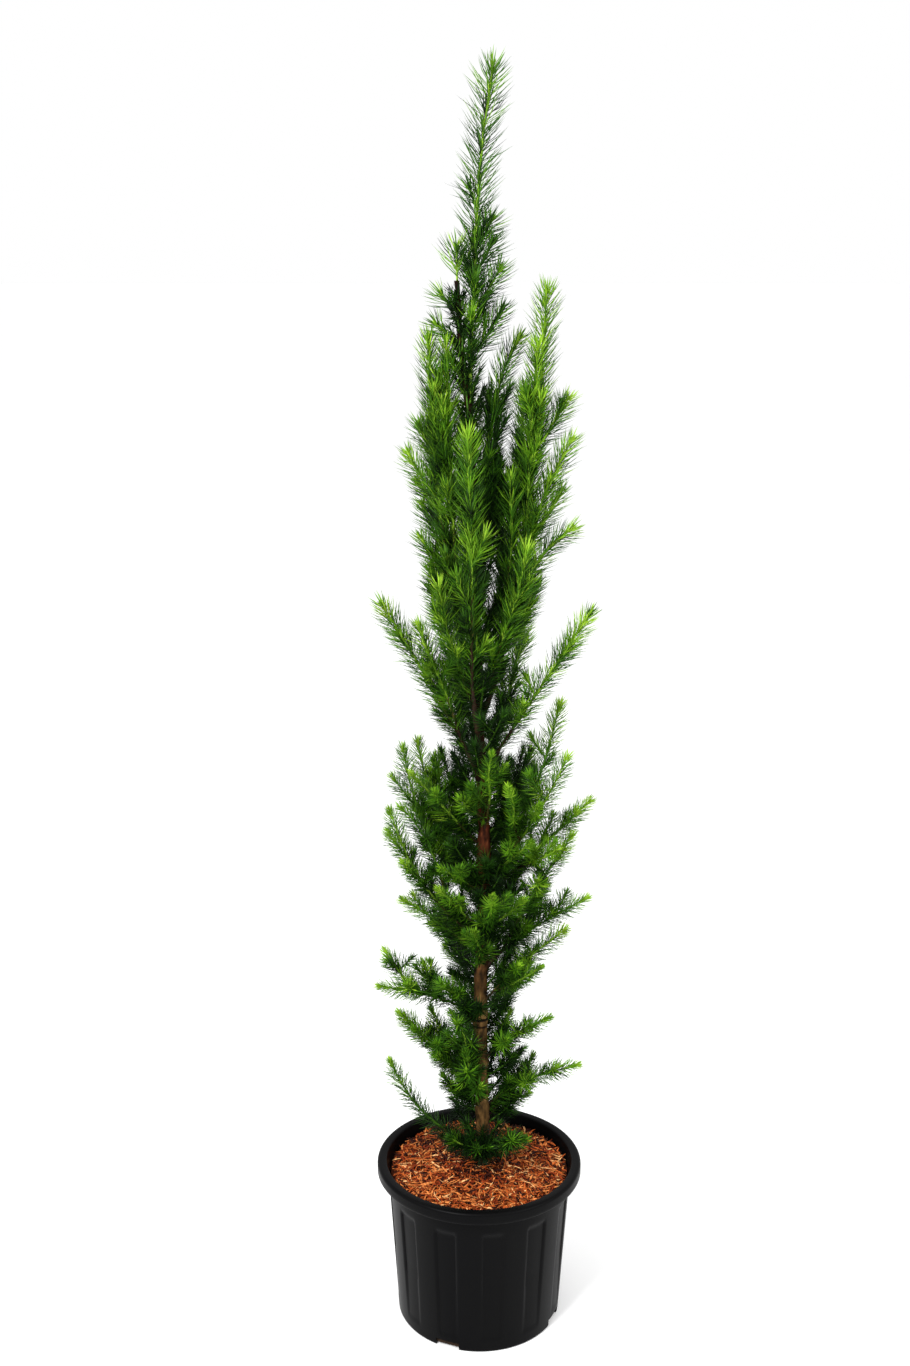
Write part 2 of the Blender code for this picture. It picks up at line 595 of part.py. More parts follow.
def shoot_path(shoot, paths):
    """The line of a shoot: it swings out by its bow, rises to its tip and sways a little."""
    if shoot.parent == "trunk":
        foot = trunk_centre(shoot.foot)
    else:
        foot = point_at_height(paths[shoot.parent], shoot.foot)
    out = unit(shoot.azimuth) * shoot.reach
    rise = Vector((0, 0, shoot.tip - foot.z))
    bend = foot + out * (0.5 + shoot.bow) + rise * (0.5 - shoot.bow)
    tip = foot + out + rise
    across = unit(shoot.azimuth + 90)
    phase = random.Random(seed_of(shoot.name)).uniform(0, 2 * math.pi)
    path = []
    for i in range(PATH_POINTS):
        t = i / (PATH_POINTS - 1)
        point = foot * (1 - t) ** 2 + bend * 2 * t * (1 - t) + tip * t**2
        sway = SWAY * math.sin(2 * math.pi * t + phase) * math.sin(math.pi * t)
        path.append(point + across * sway)
    return path


def twig_path(base, azimuth, length, lift):
    """The line of a side shoot, which turns up a little towards its tip."""
    level = unit(azimuth) * length * math.cos(lift)
    rise = Vector((0, 0, length * math.sin(lift)))
    return [base + level * u + rise * u**1.2 for u in (0.0, 0.25, 0.5, 0.75, 1.0)]


def part_of(path, start, end, count=PATH_POINTS):
    """The stretch of a path between two shares of its length, as a number of points in even steps."""
    points = np.array([tuple(p) for p in path])
    steps = np.linalg.norm(np.diff(points, axis=0), axis=1)
    along = np.concatenate([[0], np.cumsum(steps)])
    places = np.linspace(along[-1] * start, along[-1] * end, count)
    return [Vector([float(np.interp(p, along, points[:, k])) for k in range(3)]) for p in places]


def path_length(path):
    """The length of a line of points."""
    return sum((b - a).length for a, b in zip(path, path[1:]))


def mass_of(shoot):
    """The name of the bough whose mass a shoot belongs to."""
    parents = {s.name: s.parent for s in SHOOTS}
    name = shoot.name
    while parents[name] != "trunk":
        name = parents[name]
    return name


def wanted_twigs(shoot, path):
    """Each side shoot that the rule gives for a shoot, as its foot, azimuth, length and lift."""
    chance = random.Random(seed_of(shoot.name) + 1)
    placed = PLACED_SIDES.get(shoot.name, ())
    found = [(point_at_height(path, z), azimuth, length) for z, azimuth, length in placed]
    start = max(SIDE_FIRST, shoot.bare + SIDE_PAST_LIMB)
    for i, azimuth in enumerate(shoot.sides):
        t = start + (SIDE_LAST - start) * (i + 0.5) / len(shoot.sides)
        base = path[int(round(t * (PATH_POINTS - 1)))]
        shrink = 1 - SIDE_SHRINK * (t - start) / (1 - start)
        spread = chance.uniform(1 - TWIG_SPREAD, 1 + TWIG_SPREAD)
        found.append((base, azimuth, shoot.twig * shrink * spread))
    twigs = []
    for base, azimuth, length in found:
        lift = by_height(base.z, LIFT_LOW, LIFT_HIGH) + chance.uniform(-LIFT_SPREAD, LIFT_SPREAD)
        twigs.append((base, azimuth, length, math.radians(lift)))
    return twigs


def sampled(path, step=TEST_STEP):
    """Points close together along a line, as an array."""
    points = []
    for a, b in zip(path, path[1:]):
        count = max(1, int((b - a).length / step))
        points += [tuple(a.lerp(b, i / count)) for i in range(count)]
    points.append(tuple(path[-1]))
    return np.array(points)


def nearest(points, others):
    """The distance from each point to the nearest of the others."""
    if len(others) == 0:
        return np.full(len(points), FAR)
    gaps = points[:, None, :] - others[None, :, :]
    return np.sqrt((gaps**2).sum(axis=2).min(axis=1))


def limb_room(points, own_limb, limbs, thickness):
    """Whether points keep clear of the trunk, of every limb, of the mulch and of the pot's rim."""
    for name, (centres, radii) in limbs.items():
        margin = thickness if name == own_limb else thickness + LIMB_MARGIN
        gaps = np.sqrt(((points[:, None, :] - centres[None, :, :]) ** 2).sum(axis=2))
        if (gaps - radii[None, :]).min() < margin:
            return False
    out = np.hypot(points[:, 0], points[:, 1])
    ground = np.array([mulch_height(r) for r in out]) + MULCH_LUMP + GROUND_MARGIN + thickness
    if (points[:, 2] < ground).any():
        return False
    near_rim = (out > RIM_INNER_RADIUS - RIM_REACH) & (points[:, 2] < POT_HEIGHT + RIM_MARGIN + thickness)
    return not near_rim.any()


def limb_shapes(paths):
    """Centres and radii of the trunk and of each limb, close together, for the tests of room."""
    top = TRUNK_LINE[-1][0]
    heights = np.arange(TRUNK_FOOT, top, TEST_STEP)
    centres = np.array([tuple(trunk_centre(z)) for z in heights])
    shapes = {"trunk": (centres, np.array([trunk_radius(z) + TRUNK_MARGIN for z in heights]))}
    for shoot in SHOOTS:
        if shoot.bare:
            line = sampled(part_of(paths[shoot.name], 0.0, shoot.bare))
            shapes[shoot.name] = (line, np.full(len(line), LIMB_FOOT_RADIUS))
    return shapes


def stems_of_masses(paths, limbs):
    """For each mass, the lines of its stems and of the side shoots that have room in its own space."""
    mains = {}
    for shoot in SHOOTS:
        path = paths[shoot.name]
        start = shoot.bare + GAP / path_length(path) if shoot.bare else 0.0
        mains.setdefault(mass_of(shoot), []).append(part_of(path, start, 1.0))
    cores = {name: np.concatenate([sampled(p) for p in lines]) for name, lines in mains.items()}
    twigs = {name: [] for name in mains}
    for shoot in SHOOTS:
        name = mass_of(shoot)
        others = np.concatenate([cores[n] for n in cores if n != name])
        for base, azimuth, length, lift in wanted_twigs(shoot, paths[shoot.name]):
            for share in (1.0, 0.75, 0.5):
                if length * share < LEAST_TWIG:
                    break
                line = twig_path(base, azimuth, length * share, lift)
                free = sampled(line)[2:]
                apart = nearest(free, others) - nearest(free, cores[name])
                if apart.min() > SHARE_MARGIN and limb_room(free, name, limbs, TWIG_FOOT_RADIUS):
                    twigs[name].append(line)
                    break
    return mains, twigs


def along_line(line):
    """A function that gives the place and the three directions at a distance along a line."""
    steps = [(b - a).length for a, b in zip(line, line[1:])]
    ends = np.concatenate([[0], np.cumsum(steps)])
    directions = frames(line)

    def read(distance):
        i = min(int(np.searchsorted(ends, distance, side="right")) - 1, len(steps) - 1)
        share = (distance - ends[i]) / steps[i]
        ahead, side, _ = (a.lerp(b, share) for a, b in zip(directions[i], directions[i + 1]))
        ahead.normalize()
        side = (side - ahead * side.dot(ahead)).normalized()
        return line[i].lerp(line[i + 1], share), ahead, side, ahead.cross(side)

    return read, float(ends[-1])


def needle_tip(root, ahead, out, to_end):
    """Where a needle ends, from the place on its stem and how far that is from the shoot's tip."""
    tipward = max(0.0, 1 - to_end / TIP_LENGTH)
    angle = math.radians(NEEDLE_ANGLE + (NEEDLE_ANGLE_TIP - NEEDLE_ANGLE) * tipward)
    reach = by_height(root.z, NEEDLE_LOW, NEEDLE_HIGH) * (1 - (1 - NEEDLE_SHORT) * tipward)
    return root + (ahead * math.cos(angle) + out * math.sin(angle)) * reach


def shoot_shape(line, foot_radius, tip_radius, first, room):
    """Points and faces of one shoot: a three-sided stem with its needles, closed and pointed.

    Needles start at the distance first. Between turns of needles the stem is turned by the twist.
    """
    read, length = along_line(line)
    turns = max(1, int((length - first) / NEEDLE_STEP))
    step = (length - first) / turns
    places = [first + step * (i + NEEDLE_PLACE) for i in range(turns)]
    rings = [(0.0, 0.0)]
    for i, place in enumerate(places):
        roll = math.radians(NEEDLE_TWIST * (i + 1))
        rings += [(place - NEEDLE_BASE / 2, roll), (place + NEEDLE_BASE / 2, roll)]
    shape = []
    for distance, roll in rings:
        centre, ahead, side, up = read(distance)
        radius = foot_radius + (tip_radius - foot_radius) * distance / length
        for k in range(3):
            turn = roll + math.radians(120 * k)
            shape.append(centre + (side * math.cos(turn) + up * math.sin(turn)) * radius)
    faces = [(2, 1, 0)]
    for ring in range(len(rings) - 1):
        for k in range(3):
            a, b = ring * 3 + k, ring * 3 + (k + 1) % 3
            if ring % 2 == 0:
                faces += [(a, b, a + 3), (b, b + 3, a + 3)]
                continue
            faces.append((a, b + 3, a + 3))
            distance, roll = rings[ring]
            centre, ahead, side, up = read(distance + NEEDLE_BASE / 2)
            turn = roll + math.radians(120 * k + 60)
            out = side * math.cos(turn) + up * math.sin(turn)
            tip = needle_tip(centre, ahead, out, length - distance)
            if room.has(centre, tip):
                shape.append(tip)
                needle = len(shape) - 1
                faces += [(a, b, needle), (b, b + 3, needle), (b + 3, a, needle)]
            else:
                faces.append((a, b, b + 3))
    centre, ahead, _, _ = read(length)
    shape.append(centre + ahead * TIP_POINT)
    point = len(shape) - 1
    last = (len(rings) - 1) * 3
    faces += [(last + k, last + (k + 1) % 3, point) for k in range(3)]
    return shape, faces


def joined(name, shapes, solver):
    """One mesh object that is the union of all the shapes, by one Boolean on a collection."""
    core = add_mesh(name, *shapes[0])
    group = bpy.data.collections.new(name + "_pieces")
    bpy.context.scene.collection.children.link(group)
    for i, (points, faces) in enumerate(shapes[1:]):
        piece = add_mesh(f"{name}_piece_{i}", points, faces)
        bpy.context.scene.collection.objects.unlink(piece)
        group.objects.link(piece)
    union = core.modifiers.new("union", "BOOLEAN")
    union.operation = "UNION"
    union.operand_type = "COLLECTION"
    union.collection = group
    union.solver = solver
    bake_modifiers(core)
    for piece in list(group.objects):
        bpy.data.objects.remove(piece, do_unlink=True)
    bpy.data.collections.remove(group)
    return core


def trim_to_trunk(item, sleeve):
    """Cut away what lies inside the trunk's sleeve."""
    cut = item.modifiers.new("trim", "BOOLEAN")
    cut.operation = "DIFFERENCE"
    cut.solver = "EXACT"
    cut.object = sleeve
    bake_modifiers(item)


def bodies_of(work):
    """The separate bodies of a bmesh, as sets of points, with the largest one last."""
    left = set(work.verts)
    bodies = []
    while left:
        stack = [left.pop()]
        body = set(stack)
        while stack:
            for edge in stack.pop().link_edges:
                for vert in edge.verts:
                    if vert in left:
                        left.discard(vert)
                        body.add(vert)
                        stack.append(vert)
        bodies.append(body)
    return sorted(bodies, key=len)


def keep_largest_body(item):
    """Merge points that coincide, and drop scraps and sealed hollows. It says whether the mesh is closed."""
    for distance in MERGE_DISTANCES:
        work = bmesh.new()
        work.from_mesh(item.data)
        if distance:
            bmesh.ops.remove_doubles(work, verts=work.verts, dist=distance)
            bmesh.ops.dissolve_degenerate(work, edges=work.edges, dist=distance)
        bmesh.ops.triangulate(work, faces=work.faces)
        for body in bodies_of(work)[:-1]:
            bmesh.ops.delete(work, geom=list(body), context="VERTS")
        closed = all(len(edge.link_faces) == 2 for edge in work.edges)
        if closed:
            work.to_mesh(item.data)
        work.free()
        if closed:
            return True
    return False


def limb_line(shoot, path):
    """The line of a bough's bare limb."""
    return part_of(path, 0.0, shoot.bare, LIMB_RINGS)


def make_limbs(paths, sleeve):
    """The bare lower stretch of each main bough, one tapering limb from the trunk to its mass."""
    finish = material("bough_bark", LIMB_COLOUR, 0.8)
    for shoot in SHOOTS:
        if not shoot.bare:
            continue
        shape, faces = limb_shape(limb_line(shoot, paths[shoot.name]))
        limb = add_mesh("bough_" + shoot.name, shape, faces, finish)
        trim_to_trunk(limb, sleeve)
        keep_largest_body(limb)
        limb.data.shade_smooth()
        limb.data.set_sharp_from_angle(angle=math.radians(60))


def limb_shape(line):
    """Points and faces of a limb with flat ends."""
    count = len(line) - 1
    radii = [LIMB_FOOT_RADIUS + (STEM_FOOT_RADIUS - LIMB_FOOT_RADIUS) * i / count for i in range(count + 1)]
    return tube(line, radii, LIMB_SIDES)


class Room:
    """The space of one mass: it says whether a needle keeps clear of all that is not on its own shoot."""

    def __init__(self, name, cores, limbs, keep):
        self.others = np.concatenate([cores[n] for n in cores if n != name])
        self.core = cores[name]
        self.limbs = limbs
        self.keep = keep
        self.chance = random.Random(seed_of(name) + 2)
        self.placed = []
        self.on_shoot = []
        self.siblings = np.zeros((0, 3))

    def start_shoot(self, siblings):
        """Begin another shoot, whose needles keep clear of its sibling stems and of their needles."""
        self.placed += self.on_shoot
        self.on_shoot = []
        self.siblings = siblings

    def has(self, root, tip):
        """Whether a needle from root to tip may stand."""
        if self.chance.random() > self.keep:
            return False
        tests = np.array([tuple(root.lerp(tip, share)) for share in NEEDLE_TESTS])
        apart = nearest(tests, self.others) - nearest(tests, self.core)
        if apart.min() < SHARE_MARGIN or nearest(tests, self.siblings).min() < SIBLING_MARGIN:
            return False
        if self.placed and nearest(tests, np.concatenate(self.placed)).min() < SIBLING_MARGIN:
            return False
        if not limb_room(tests, None, self.limbs, NEEDLE_THICK):
            return False
        self.on_shoot.append(sampled([Vector(tests[0]), Vector(tests[-1])]))
        return True


def mass_shapes(lines, mains, room, on_trunk):
    """The shapes of all the shoots of one mass."""
    shapes = []
    points = [sampled(line) for line in lines]
    for i, line in enumerate(lines):
        rest = [points[k] for k in range(len(lines)) if k != i]
        room.start_shoot(np.concatenate(rest) if rest else np.zeros((0, 3)))
        first = NEEDLE_CLEAR + (trunk_radius(line[0].z) if i == 0 and on_trunk else 0.0)
        if i < mains:
            shapes.append(shoot_shape(line, STEM_FOOT_RADIUS, STEM_TIP_RADIUS, first, room))
        else:
            shapes.append(shoot_shape(line, TWIG_FOOT_RADIUS, TWIG_TIP_RADIUS, first, room))
    return shapes


def make_masses(paths, sleeve):
    """Each mass of foliage: stems, side shoots and needles that have room, fused into one node."""
    finish = material("needles", NEEDLE_COLOUR, 0.6)
    limbs = limb_shapes(paths)
    mains, twigs = stems_of_masses(paths, limbs)
    cores = {name: np.concatenate([sampled(p) for p in mains[name] + twigs[name]]) for name in mains}
    has_limb = {s.name for s in SHOOTS if s.bare}
    for name in mains:
        on_trunk = name not in has_limb
        for keep, solver in UNION_TRIES:
            room = Room(name, cores, limbs, keep)
            shapes = mass_shapes(mains[name] + twigs[name], len(mains[name]), room, on_trunk)
            mass = joined("foliage_" + name, shapes, solver)
            closed = keep_largest_body(mass)
            if on_trunk:
                trim_to_trunk(mass, sleeve)
                closed = keep_largest_body(mass) and closed
            if closed or (keep, solver) == UNION_TRIES[-1]:
                break
            bpy.data.objects.remove(mass, do_unlink=True)
        mass.data.materials.clear()
        mass.data.materials.append(finish)


def main():
    clear_scene()
    make_pot()
    make_mix()
    make_mulch()
    make_trunk()
    sleeve = make_sleeve()
    paths = {}
    for shoot in SHOOTS:
        paths[shoot.name] = shoot_path(shoot, paths)
    make_limbs(paths, sleeve)
    make_masses(paths, sleeve)
    bpy.data.objects.remove(sleeve, do_unlink=True)


main()
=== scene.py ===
"""Young Japanese larch in a ten litre nursery pot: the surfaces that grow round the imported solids.

The shoots grow by the same table and the same rule as the solids, then go on to finer twigs, needles, bark
and mulch. All lengths are in metres, +Z is up, and the origin is the centre of the pot's underside.
Azimuths are in degrees about +Z: 0 is +X, 90 is +Y, and the front of the plant faces -Y.
"""

import json
import math
import random
from collections import namedtuple

import bpy
import numpy as np
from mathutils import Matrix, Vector

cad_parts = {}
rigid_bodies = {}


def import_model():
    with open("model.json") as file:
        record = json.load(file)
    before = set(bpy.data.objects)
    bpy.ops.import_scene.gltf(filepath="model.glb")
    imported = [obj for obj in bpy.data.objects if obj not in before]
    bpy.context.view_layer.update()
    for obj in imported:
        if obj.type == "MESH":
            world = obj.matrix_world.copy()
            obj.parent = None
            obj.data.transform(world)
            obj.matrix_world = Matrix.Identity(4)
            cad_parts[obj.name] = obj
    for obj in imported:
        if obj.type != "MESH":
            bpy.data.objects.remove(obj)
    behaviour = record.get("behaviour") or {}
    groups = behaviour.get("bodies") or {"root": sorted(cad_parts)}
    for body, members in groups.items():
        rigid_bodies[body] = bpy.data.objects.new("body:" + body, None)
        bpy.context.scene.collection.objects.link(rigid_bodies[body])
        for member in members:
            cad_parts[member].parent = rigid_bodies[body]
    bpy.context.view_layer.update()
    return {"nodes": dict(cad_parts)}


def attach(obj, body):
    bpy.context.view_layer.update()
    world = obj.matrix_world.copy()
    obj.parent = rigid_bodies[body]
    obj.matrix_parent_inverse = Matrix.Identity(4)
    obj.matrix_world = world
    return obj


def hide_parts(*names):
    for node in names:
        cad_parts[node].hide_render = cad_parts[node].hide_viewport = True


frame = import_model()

FULL_TURN = 2 * math.pi
GOLDEN_ANGLE = 137.508
SQUARE_CORNERS = ((-1, -1), (1, -1), (1, 1), (-1, 1))

# Sizes that the solids have too
GAP = 0.0003
POT_HEIGHT = 0.231
POT_BASE_RADIUS = 0.1136
POT_NECK_RADIUS = 0.1275
POT_WALL = 0.002
RIM_RADIUS = 0.142
RIM_INNER_RADIUS = 0.1285
RIM_SKIRT = 0.016
RIM_THICKNESS = 0.004
RIM_ROUND = 0.0045
BASE_BEVEL = 0.002
FLUTES = 12
FLUTE_PHASE = -142.0
FLUTE_DEPTH = 0.0024
FLUTE_BOTTOM = 0.016
FLUTE_TOP = 0.192
DRAINS = 4
DRAIN_PHASE = -113.0
DRAIN_WIDTH = 0.034
DRAIN_DEPTH = 0.024
DRAIN_HEIGHT = 0.011
MULCH_EDGE = 0.213
MULCH_CROWN = 0.221
MULCH_LUMP = 0.0025
MULCH_FLAT = 0.022
MULCH_CURVE = 1.3
TRUNK_FOOT = MULCH_CROWN + GAP
TRUNK_LINE = (
    (TRUNK_FOOT, 0.006, 0.004),
    (0.35, 0.003, 0.002),
    (0.48, 0.001, 0.000),
    (0.60, 0.006, 0.000),
    (0.72, 0.005, 0.001),
    (0.84, -0.002, 0.000),
    (1.06, -0.009, 0.002),
    (1.25, -0.015, 0.003),
    (1.35, -0.027, 0.004),
    (1.42, -0.031, 0.004),
)
TRUNK_HEIGHTS, TRUNK_XS, TRUNK_YS = zip(*TRUNK_LINE)
TRUNK_TOP = TRUNK_HEIGHTS[-1]
TRUNK_FOOT_RADIUS = 0.0095
TRUNK_TIP_RADIUS = 0.0026
TRUNK_TAPER = 0.6
TRUNK_SKIN = 0.001
FLARE = 0.0045
FLARE_HEIGHT = 0.014
KNOT_HEIGHT = 0.445
KNOT_LENGTH = 0.010
KNOT_AZIMUTH = 190.0

# Shoots: a bough or its fork, from its foot's height on its parent to its tip's height. reach is how far out
# the tip lies from the foot, and bow how much it swings out before it rises. twig is the length of its lowest
# side shoot, and sides holds the azimuth of each side shoot from the lowest to the highest. bare is the share
# of its length that is a bare limb.
Shoot = namedtuple("Shoot", "name foot azimuth reach tip bow twig sides parent bare", defaults=("trunk", 0))
SHOOT_ROWS = (
    ("leader", 1.268, 25, 0.031, 1.668, -0.22, 0.055, ()),
    ("old_tip", 1.42, -180, 0.001, 1.461, 0, 0.02, ()),
    ("right_tall", 0.86, 1, 0.081, 1.41, 0.25, 0.11, (-66, 100, -85, 15, 100, -80), "trunk", 0.16),
    ("right_outer", 0.975, -6, 0.08, 1.23, -0.15, 0.05, (60, -60), "right_tall"),
    ("right_outer_low", 0.952, -12, 0.089, 1.121, -0.25, 0.04, (), "right_tall"),
    ("right_tall_front", 1.12, -70, 0.033, 1.346, 0.05, 0.05, (-60, -120), "right_tall"),
    ("right_tall_inner", 0.985, -84, 0.018, 1.184, 0, 0.03, (), "right_tall"),
    ("right_inner", 1.07, 26, 0.063, 1.352, -0.28, 0.05, (100,)),
    ("left_tall", 0.87, 190, 0.042, 1.35, 0.3, 0.09, (250, 110, 235, 70, 255, 130), "trunk", 0.14),
    ("left_outer", 0.96, 174, 0.045, 1.354, 0.22, 0.085, (), "left_tall"),
    ("front_tall", 0.838, -103, 0.072, 1.244, 0.28, 0.075, (205, -25, 220, -40), "trunk", 0.16),
    ("back_tall", 0.9, 98, 0.075, 1.265, 0.28, 0.085, (20, 150, 80, 10, 165), "trunk", 0.15),
    ("back_left", 0.96, 138, 0.082, 1.245, 0.25, 0.075, (180, 95, 150, 200)),
    ("back_right", 0.93, 45, 0.085, 1.29, 0.22, 0.08, (0, 90, 30, 70)),
    ("right_front", 0.885, -43, 0.081, 1.101, 0.1, 0.06, (-90, 0, -60, -20)),
    ("left_front", 0.865, -132, 0.075, 1.056, 0.12, 0.06, (-170, -90, -140)),
    ("left_mid", 0.785, -166, 0.131, 1.027, -0.03, 0.05, (150, 250, 170), "trunk", 0.15),
    ("left_mid_inner", 0.835, -143, 0.071, 1.003, 0, 0.04, (150,), "left_mid"),
    ("right_mid", 0.79, -8, 0.138, 1.013, 0, 0.05, (-60, 130, -30), "trunk", 0.15),
    ("back_mid_left", 0.8, 118, 0.122, 1.01, 0, 0.06, (170, 70, 140), "trunk", 0.15),
    ("back_mid_right", 0.765, 62, 0.128, 0.985, 0, 0.06, (10, 110, 40), "trunk", 0.15),
    ("left_whorl", 0.625, 179, 0.108, 0.828, 0.28, 0.075, (250, 130, 250, 160), "trunk", 0.16),
    ("left_whorl_back", 0.665, 139, 0.055, 0.827, 0.12, 0.05, (180, 60), "left_whorl"),
    ("left_whorl_inner", 0.655, 133, 0.042, 0.807, 0.05, 0.05, (60, 200), "left_whorl"),
    ("left_whorl_front", 0.685, -152, 0.107, 0.809, 0, 0.05, (180, 250)),
    ("left_outer_low", 0.56, 195, 0.127, 0.754, 0.2, 0.07, (250, 165, 230, 170)),
    ("left_outer_inner", 0.6, -174, 0.064, 0.753, -0.22, 0.05, (120, 60), "left_outer_low"),
    ("right_whorl", 0.62, 2, 0.138, 0.754, 0, 0.07, (-50, 45, -35), "trunk", 0.18),
    ("right_whorl_front", 0.66, -49, 0.078, 0.708, 0.05, 0.05, (-80, 0), "right_whorl"),
    ("right_upper", 0.645, -16, 0.109, 0.826, 0.1, 0.07, (100, -75, -140)),
    ("right_upper_back", 0.67, 24, 0.085, 0.88, 0.1, 0.05, (180, 90, 150), "right_upper"),
    ("right_upper_front", 0.705, -107, 0.061, 0.798, 0, 0.03, (), "right_upper"),
    ("front_upper", 0.705, -84, 0.069, 0.84, -0.05, 0.05, (-140, -20)),
    ("front_upper_left", 0.735, 220, 0.044, 0.772, 0.1, 0.03, (), "front_upper"),
    ("front_right", 0.65, -47, 0.083, 0.719, 0.05, 0.05, (-10, -110)),
    ("front_left", 0.625, -132, 0.088, 0.687, 0, 0.05, (-175, -85)),
    ("front_low", 0.565, -85, 0.105, 0.663, 0.05, 0.05, (-140, -20)),
    ("front_low_right", 0.58, -39, 0.065, 0.641, 0.05, 0.04, (0,), "front_low"),
    ("front_left_low", 0.575, -137, 0.083, 0.66, 0, 0.04, (-90,), "front_low"),
    ("front_lowest", 0.52, -98, 0.075, 0.602, 0.05, 0.045, (-30, -150)),
    ("back_whorl_high", 0.68, 96, 0.105, 0.835, 0.1, 0.06, (150, 40, 100)),
    ("back_whorl_right", 0.635, 57, 0.119, 0.796, 0.12, 0.06, (180, 20, 50)),
    ("back_whorl_left", 0.6, 128, 0.118, 0.735, 0.1, 0.06, (170, 80, 130)),
    ("back_low", 0.53, 84, 0.12, 0.645, 0, 0.06, (30, 140, 80)),
    ("right_low", 0.515, 3, 0.141, 0.616, -0.08, 0.055, (-50, 50, 80, 35), "trunk", 0.16),
    ("right_low_up", 0.541, -14, 0.092, 0.715, -0.05, 0.05, (20, -80, 30), "right_low"),
    ("right_low_front", 0.462, -20, 0.118, 0.591, -0.05, 0.05, (25, -70, 80, 60, 100)),
    ("right_low_inner", 0.485, -41, 0.082, 0.546, 0.05, 0.04, (-20, 60), "right_low_front"),
    ("left_low", 0.445, -172, 0.137, 0.499, -0.15, 0.05, (230, 140, 200, 240), "trunk", 0.18),
    ("left_low_up", 0.488, 139, 0.05, 0.533, 0, 0.03, (180,), "left_low"),
    ("left_low_inner", 0.474, 140, 0.034, 0.517, 0.1, 0.04, (100, 200), "left_low"),
    ("left_back_low", 0.535, 164, 0.113, 0.603, -0.08, 0.055, (210, 110, 150)),
    ("left_back_inner", 0.55, 128, 0.083, 0.554, 0, 0.04, (200, 90), "left_back_low"),
    ("left_front_low", 0.455, 224, 0.066, 0.512, 0.05, 0.045, (180, 260, 210)),
    ("back_lower", 0.47, 116, 0.095, 0.528, 0.05, 0.06, (190, 150, 60, 120)),
    ("back_right_low", 0.405, 52, 0.105, 0.5, 0.05, 0.055, (60, 100, 40)),
    ("left_bottom", 0.335, -175, 0.113, 0.455, 0, 0.05, (230, 150, 260, 210, 170)),
    ("left_bottom_inner", 0.362, 222, 0.042, 0.4, 0, 0.04, (200,), "left_bottom"),
    ("left_bottom_back", 0.358, 149, 0.057, 0.443, 0.1, 0.04, (120, 220), "left_bottom"),
    ("back_bottom", 0.33, 108, 0.092, 0.42, 0.05, 0.05, (160, 50, 110)),
    ("right_upright", 0.285, 7, 0.07, 0.381, 0.12, 0.05, (-50, 150, 70, -20)),
    ("right_upright_back", 0.295, 31, 0.063, 0.308, 0, 0.03, (90,), "right_upright"),
    ("right_bottom", 0.305, -9, 0.131, 0.382, -0.14, 0.05, (70, -60, 100, -50)),
    ("left_inner", 0.3, 240, 0.046, 0.412, 0.15, 0.045, (190, 290, 215, 260)),
    ("left_inner_up", 0.352, 185, 0.026, 0.461, -0.35, 0.04, (180, 250), "left_inner"),
    ("left_inner_low", 0.312, 186, 0.051, 0.362, 0.1, 0.03, (), "left_inner"),
    ("right_inner_low", 0.375, -7, 0.092, 0.448, -0.12, 0.04, (60, -50)),
    ("right_inner_up", 0.396, 43, 0.029, 0.442, 0, 0.03, (60,), "right_inner_low"),
    ("left_ground", 0.24, -171, 0.129, 0.387, 0.2, 0.03, ()),
    ("front_tuft", 0.243, -100, 0.052, 0.272, 0.1, 0.03, (200, -40)),
    ("left_tuft", 0.249, 205, 0.05, 0.28, 0.1, 0.03, (170,), "front_tuft"),
    ("right_tuft", 0.252, -24, 0.064, 0.284, 0, 0.03, (20, -80), "front_tuft"),
)
SHOOTS = [Shoot(*row) for row in SHOOT_ROWS]
PARENTS = {shoot.name: shoot.parent for shoot in SHOOTS}
PATH_POINTS = 25
SAMPLE_STEP = 0.004
SWAY = 0.003

# Side shoots that stand at heights of their own: height, azimuth and length
PLACED_SIDES = {
    "leader": (
        (1.33, 0, 0.07), (1.35, -95, 0.035), (1.385, 5, 0.061), (1.39, -85, 0.04), (1.4, 100, 0.04),
        (1.43, -15, 0.044), (1.44, 100, 0.03), (1.458, 15, 0.04),
    ),
    "right_tall": ((0.96, -40, 0.07), (1.217, -5, 0.075)),
    "right_outer": ((1.025, -5, 0.055),),
    "right_outer_low": ((0.966, -15, 0.07), (0.98, -2, 0.08)),
    "left_outer": (
        (0.985, 186, 0.07), (1.01, 180, 0.062), (1.052, 182, 0.066), (1.15, 180, 0.074),
        (1.205, 190, 0.05), (1.22, 100, 0.04),
    ),
    "left_whorl_back": ((0.76, 60, 0.055),),
    "right_inner_low": ((0.398, -70, 0.05),),
    "right_upright": ((0.3, -60, 0.055), (0.315, 120, 0.05)),
}

# The rule for the other side shoots, and the room that each needs
SIDE_FIRST = 0.18
SIDE_LAST = 0.80
SIDE_PAST_LIMB = 0.05
SIDE_SHRINK = 0.55
TWIG_SPREAD = 0.1
TWIG_CURVE = 1.2
TWIG_PLACES = (0.0, 0.25, 0.5, 0.75, 1.0)
TWIG_TRIES = (1.0, 0.75, 0.5)
LIFT_LOW = 36.0
LIFT_HIGH = 60.0
LIFT_SPREAD = 6.0
LOW_HEIGHT = 0.30
HIGH_HEIGHT = 1.00
LIMB_FOOT_RADIUS = 0.0036
STEM_FOOT_RADIUS = 0.0030
TWIG_FOOT_RADIUS = 0.0022
LEAST_TWIG = 0.018
SHARE_MARGIN = 0.006
LIMB_MARGIN = 0.0025
GROUND_MARGIN = 0.004
RIM_MARGIN = 0.004
RIM_NEAR = 0.008

# Guards: the least rise and the least gap to divide by, and from where a line counts as upright
LEAST_RISE = 1e-9
LEAST_GAP = 1e-6
NEAR_UPRIGHT = 0.9

